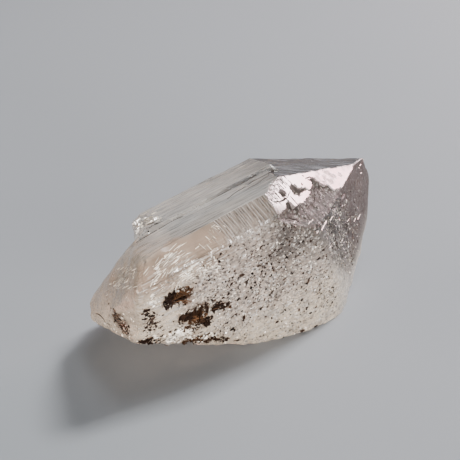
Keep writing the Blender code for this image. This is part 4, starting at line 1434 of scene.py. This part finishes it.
class QUARTZ_OT_facets(Operator):
    """Strew small tilted etch facets that catch the light over the dull faces"""

    bl_idname = "quartz.facets"
    bl_label = "Etch facets"

    def execute(self, context):
        form = context.scene.quartz_form
        random = np.random.default_rng(FACET_SEED)
        share = context.scene.quartz_counts.facets / 100
        fields = ((None, FACET_FIELDS), (LIT_WAY, LIT_FIELDS), (MIRROR_WAY, MIRROR_FIELDS))
        parts = []
        for aim, row in ((aim, row) for aim, table in fields for row in rows_of(table)):
            name, n, pu, su, pv, sv, size, slim, heading, swing, differ, light = row
            n = int(n * share)
            u, v = random.normal(pu, su, n), random.normal(pv, sv, n)
            keep = on_outline(name, u, v, 0.4)
            u, v = u[keep], v[keep]
            n = len(u)
            centre, lean = on_face(name, u, v, form, 0.05)
            toward = lean + (0, 0, 0.15) if aim is None else np.array(aim)
            facing = unit(toward + random.normal(0, differ, (n, 3)))
            way = headings(name, np.radians(random.normal(heading, swing, n)))
            long = size * random.uniform(0.5, 1.6, n)
            wide = long * slim * random.uniform(0.6, 1.4, n)
            parts.append((*plates(centre, lean, facing, way, long, wide, 0.3),
                          np.clip(light * random.uniform(0.2, 1.7, n), 0, 1)))
        mirror = PLANES["bright_face"][0]
        edge = unit(np.cross(mirror, PLANES["right_side"][0]))
        for name, u, v, long, wide in rows_of(GLINTS):
            centre, lean = on_face(name, [u], [v], form, 0.10)
            size = np.array([[long], [wide]])
            parts.append((*plates(centre, lean, mirror[None], edge[None], *size, 0.4), [0.8]))
        glassy = toned_material("etch_facets", (0.05, 0.045, 0.042), (1.0, 0.90, 0.77), 900.0, 3.0,
                                (0.8, 1.1), (0.10, 0.28), IOR=QUARTZ_IOR)[0]
        strewn_piece("etch_facets", parts, glassy).data.shade_flat()
        return {"FINISHED"}


class QUARTZ_OT_cracks(Operator):
    """Draw the thin dark cracks, and dark ribbons of painted shade in the grooves"""

    bl_idname = "quartz.cracks"
    bl_label = "Cracks"

    def execute(self, context):
        form, colours = context.scene.quartz_form, context.scene.quartz_colours
        parts = []
        for name, width, line in rows_of(CRACKS):
            line = np.array(line)
            run = np.insert(np.cumsum(np.linalg.norm(np.diff(line, axis=0), axis=1)), 0, 0)
            t = np.linspace(0, run[-1], max(6, int(run[-1] / 0.25)))
            u, v = np.interp(t, run, line[:, 0]), np.interp(t, run, line[:, 1])
            wander = lumps_at(t / 0.8, t * 0 + width * 90, 1.0, 47)
            centre, lean = on_face(name, u + 0.05 * wander, v + 0.12 * wander, form, 0.04)
            side = unit(np.cross(lean, unit(np.gradient(centre, axis=0))))
            taper = np.sin(math.pi * (t / run[-1] * 0.94 + 0.03)) ** 0.6
            w = (width * taper * (1 + 0.5 * wander))[:, None]
            profile = [centre + w * side, centre + 0.05 * lean, centre - w * side, centre - 0.3 * lean]
            parts.append((*bars(np.stack(profile, 1)[None]), [0.4]))
        dark = mineral_material("crack_shadow", colours.soot, (0.10, 0.08, 0.07), 0.7)
        strewn_piece("cracks", parts, dark)
        return {"FINISHED"}


class QUARTZ_OT_iron(Operator):
    """Grow the rusty and dark iron blades in their hollows"""

    bl_idname = "quartz.iron"
    bl_label = "Iron blades"

    def execute(self, context):
        form = context.scene.quartz_form
        random = np.random.default_rng(IRON_SEED)
        scale = context.scene.quartz_counts.blades / 100
        parts = []
        for row in rows_of(IRON_PATCHES):
            name, pu, pv, long, wide, many, length, heading, differ, rise, rusty = row
            n = int(many * scale)
            u, v = random.normal(pu, long, n), random.normal(pv, wide, n)
            turn = np.radians(random.normal(heading, differ, n))
            tilt = random.normal(rise, 0.16, n)[:, None]
            centre, lean = on_face(name, u, v, form, random.uniform(-0.15, 0.10, n))
            way = unit(headings(name, turn) + tilt * lean)
            side = unit(np.cross(lean, way))
            width = random.uniform(0.05, 0.32, n) * random.random(n) ** 0.5
            shape = blades(centre, way, side, np.cross(way, side), random.uniform(0.3, 1.0, n) * length,
                           width + 0.02, random.uniform(0.03, 0.10, n), random.normal(0, 0.7, n), 7)
            parts.append((*shape, np.clip(rusty * (0.3 + 1.2 * random.random(n)), 0, 1)))
        for name, u, v, long, wide, heading, rusty in rows_of(IRON_CORES):
            centre, lean = on_face(name, [u], [v], form)
            way = headings(name, np.radians([heading]))
            points, shape = blobs(centre, way * long, np.cross(lean, way) * wide,
                                  lean * (0.12 + 0.15 * wide), 5, 14, 0.28, 73 + len(parts))
            parts.append((points, shape, rusty * (0.5 + 1.0 * random.random(len(points)))))
        iron = mineral_material("iron_blades", (0.010, 0.0045, 0.0028), (0.15, 0.072, 0.034), 0.45)
        strewn_piece("iron_blades", parts, iron)
        return {"FINISHED"}


class QUARTZ_OT_stage(Operator):
    """Set the floor, the soft lights and the camera"""

    bl_idname = "quartz.stage"
    bl_label = "Stage"

    def execute(self, context):
        scene, studio = context.scene, context.scene.quartz_studio
        material, tree, shader, coords = new_material("pale_floor")
        wire(tree, shader, Base_Color=(*studio.floor, 1.0), Roughness=0.8)
        mesh = bpy.data.meshes.new("floor")
        corners = [(x * FLOOR_HALF, y * FLOOR_HALF, 0) for x, y in ((-1, -1), (1, -1), (1, 1), (-1, 1))]
        mesh.from_pydata(corners, [], [(0, 1, 2, 3)])
        mesh.materials.append(material)
        floor = bpy.data.objects.new("floor", mesh)
        scene.collection.objects.link(floor)
        for name, place, aim, size, watts, tint in LAMPS:
            lamp = bpy.data.lights.new(name, "AREA")
            lamp.shape = "RECTANGLE"
            lamp.size, lamp.size_y = size
            lamp.energy = getattr(studio, name) if watts is None else watts
            lamp.color = tint
            obj = bpy.data.objects.new(name, lamp)
            obj.location = place
            way = Vector((0, 0, aim)) - Vector(place)
            obj.rotation_euler = way.to_track_quat("-Z", "Y").to_euler()
            obj.visible_camera = False
            scene.collection.objects.link(obj)
        world = bpy.data.worlds.new("soft_room")
        scene.world = world
        world.use_nodes = True
        wire(world.node_tree, world.node_tree.nodes["Background"], Color=SKY, Strength=SKY_STRENGTH)
        lens = bpy.data.cameras.new("camera")
        lens.lens, lens.sensor_width, lens.clip_start = LENS, SENSOR, 0.01
        camera = bpy.data.objects.new("camera", lens)
        rise = math.radians(CAMERA_RISE)
        back = Vector((0, -math.cos(rise), math.sin(rise))) * studio.distance
        camera.location = Vector(to_model(AIM_POINT)) + back
        camera.rotation_euler = (math.pi / 2 - rise, 0, 0)
        scene.collection.objects.link(camera)
        scene.camera = camera
        return {"FINISHED"}


class QUARTZ_PT_sidebar(Panel):
    """Lists the crystal's settings and its steps"""

    bl_idname = "QUARTZ_PT_sidebar"
    bl_label = "Quartz crystal"
    bl_space_type = "VIEW_3D"
    bl_region_type = "UI"
    bl_category = "Quartz"

    def draw(self, context):
        for key in SETTINGS:
            group = getattr(context.scene, key)
            column = self.layout.column()
            for name in group.__annotations__:
                column.prop(group, name)
        for step in STEPS:
            self.layout.operator(step.bl_idname)


SETTINGS = {"quartz_form": CrystalForm, "quartz_colours": CrystalColours,
            "quartz_counts": GrainCount, "quartz_studio": StudioSettings}
STEPS = (QUARTZ_OT_stage, QUARTZ_OT_crystal, QUARTZ_OT_specks, QUARTZ_OT_facets, QUARTZ_OT_cracks,
         QUARTZ_OT_iron)
CLASSES = (*SETTINGS.values(), *STEPS, QUARTZ_PT_sidebar)


def register():
    """Registers the classes and puts the settings on the scene."""
    for cls in CLASSES:
        bpy.utils.register_class(cls)
    for key, group in SETTINGS.items():
        setattr(bpy.types.Scene, key, PointerProperty(type=group))


def unregister():
    """Takes the settings and the classes away."""
    for key in SETTINGS:
        delattr(bpy.types.Scene, key)
    for cls in reversed(CLASSES):
        bpy.utils.unregister_class(cls)


def main():
    """Builds everything in order."""
    register()
    bpy.ops.quartz.stage()
    bpy.ops.quartz.crystal()
    bpy.ops.quartz.specks()
    bpy.ops.quartz.facets()
    bpy.ops.quartz.cracks()
    bpy.ops.quartz.iron()


if __name__ == "__main__":
    main()
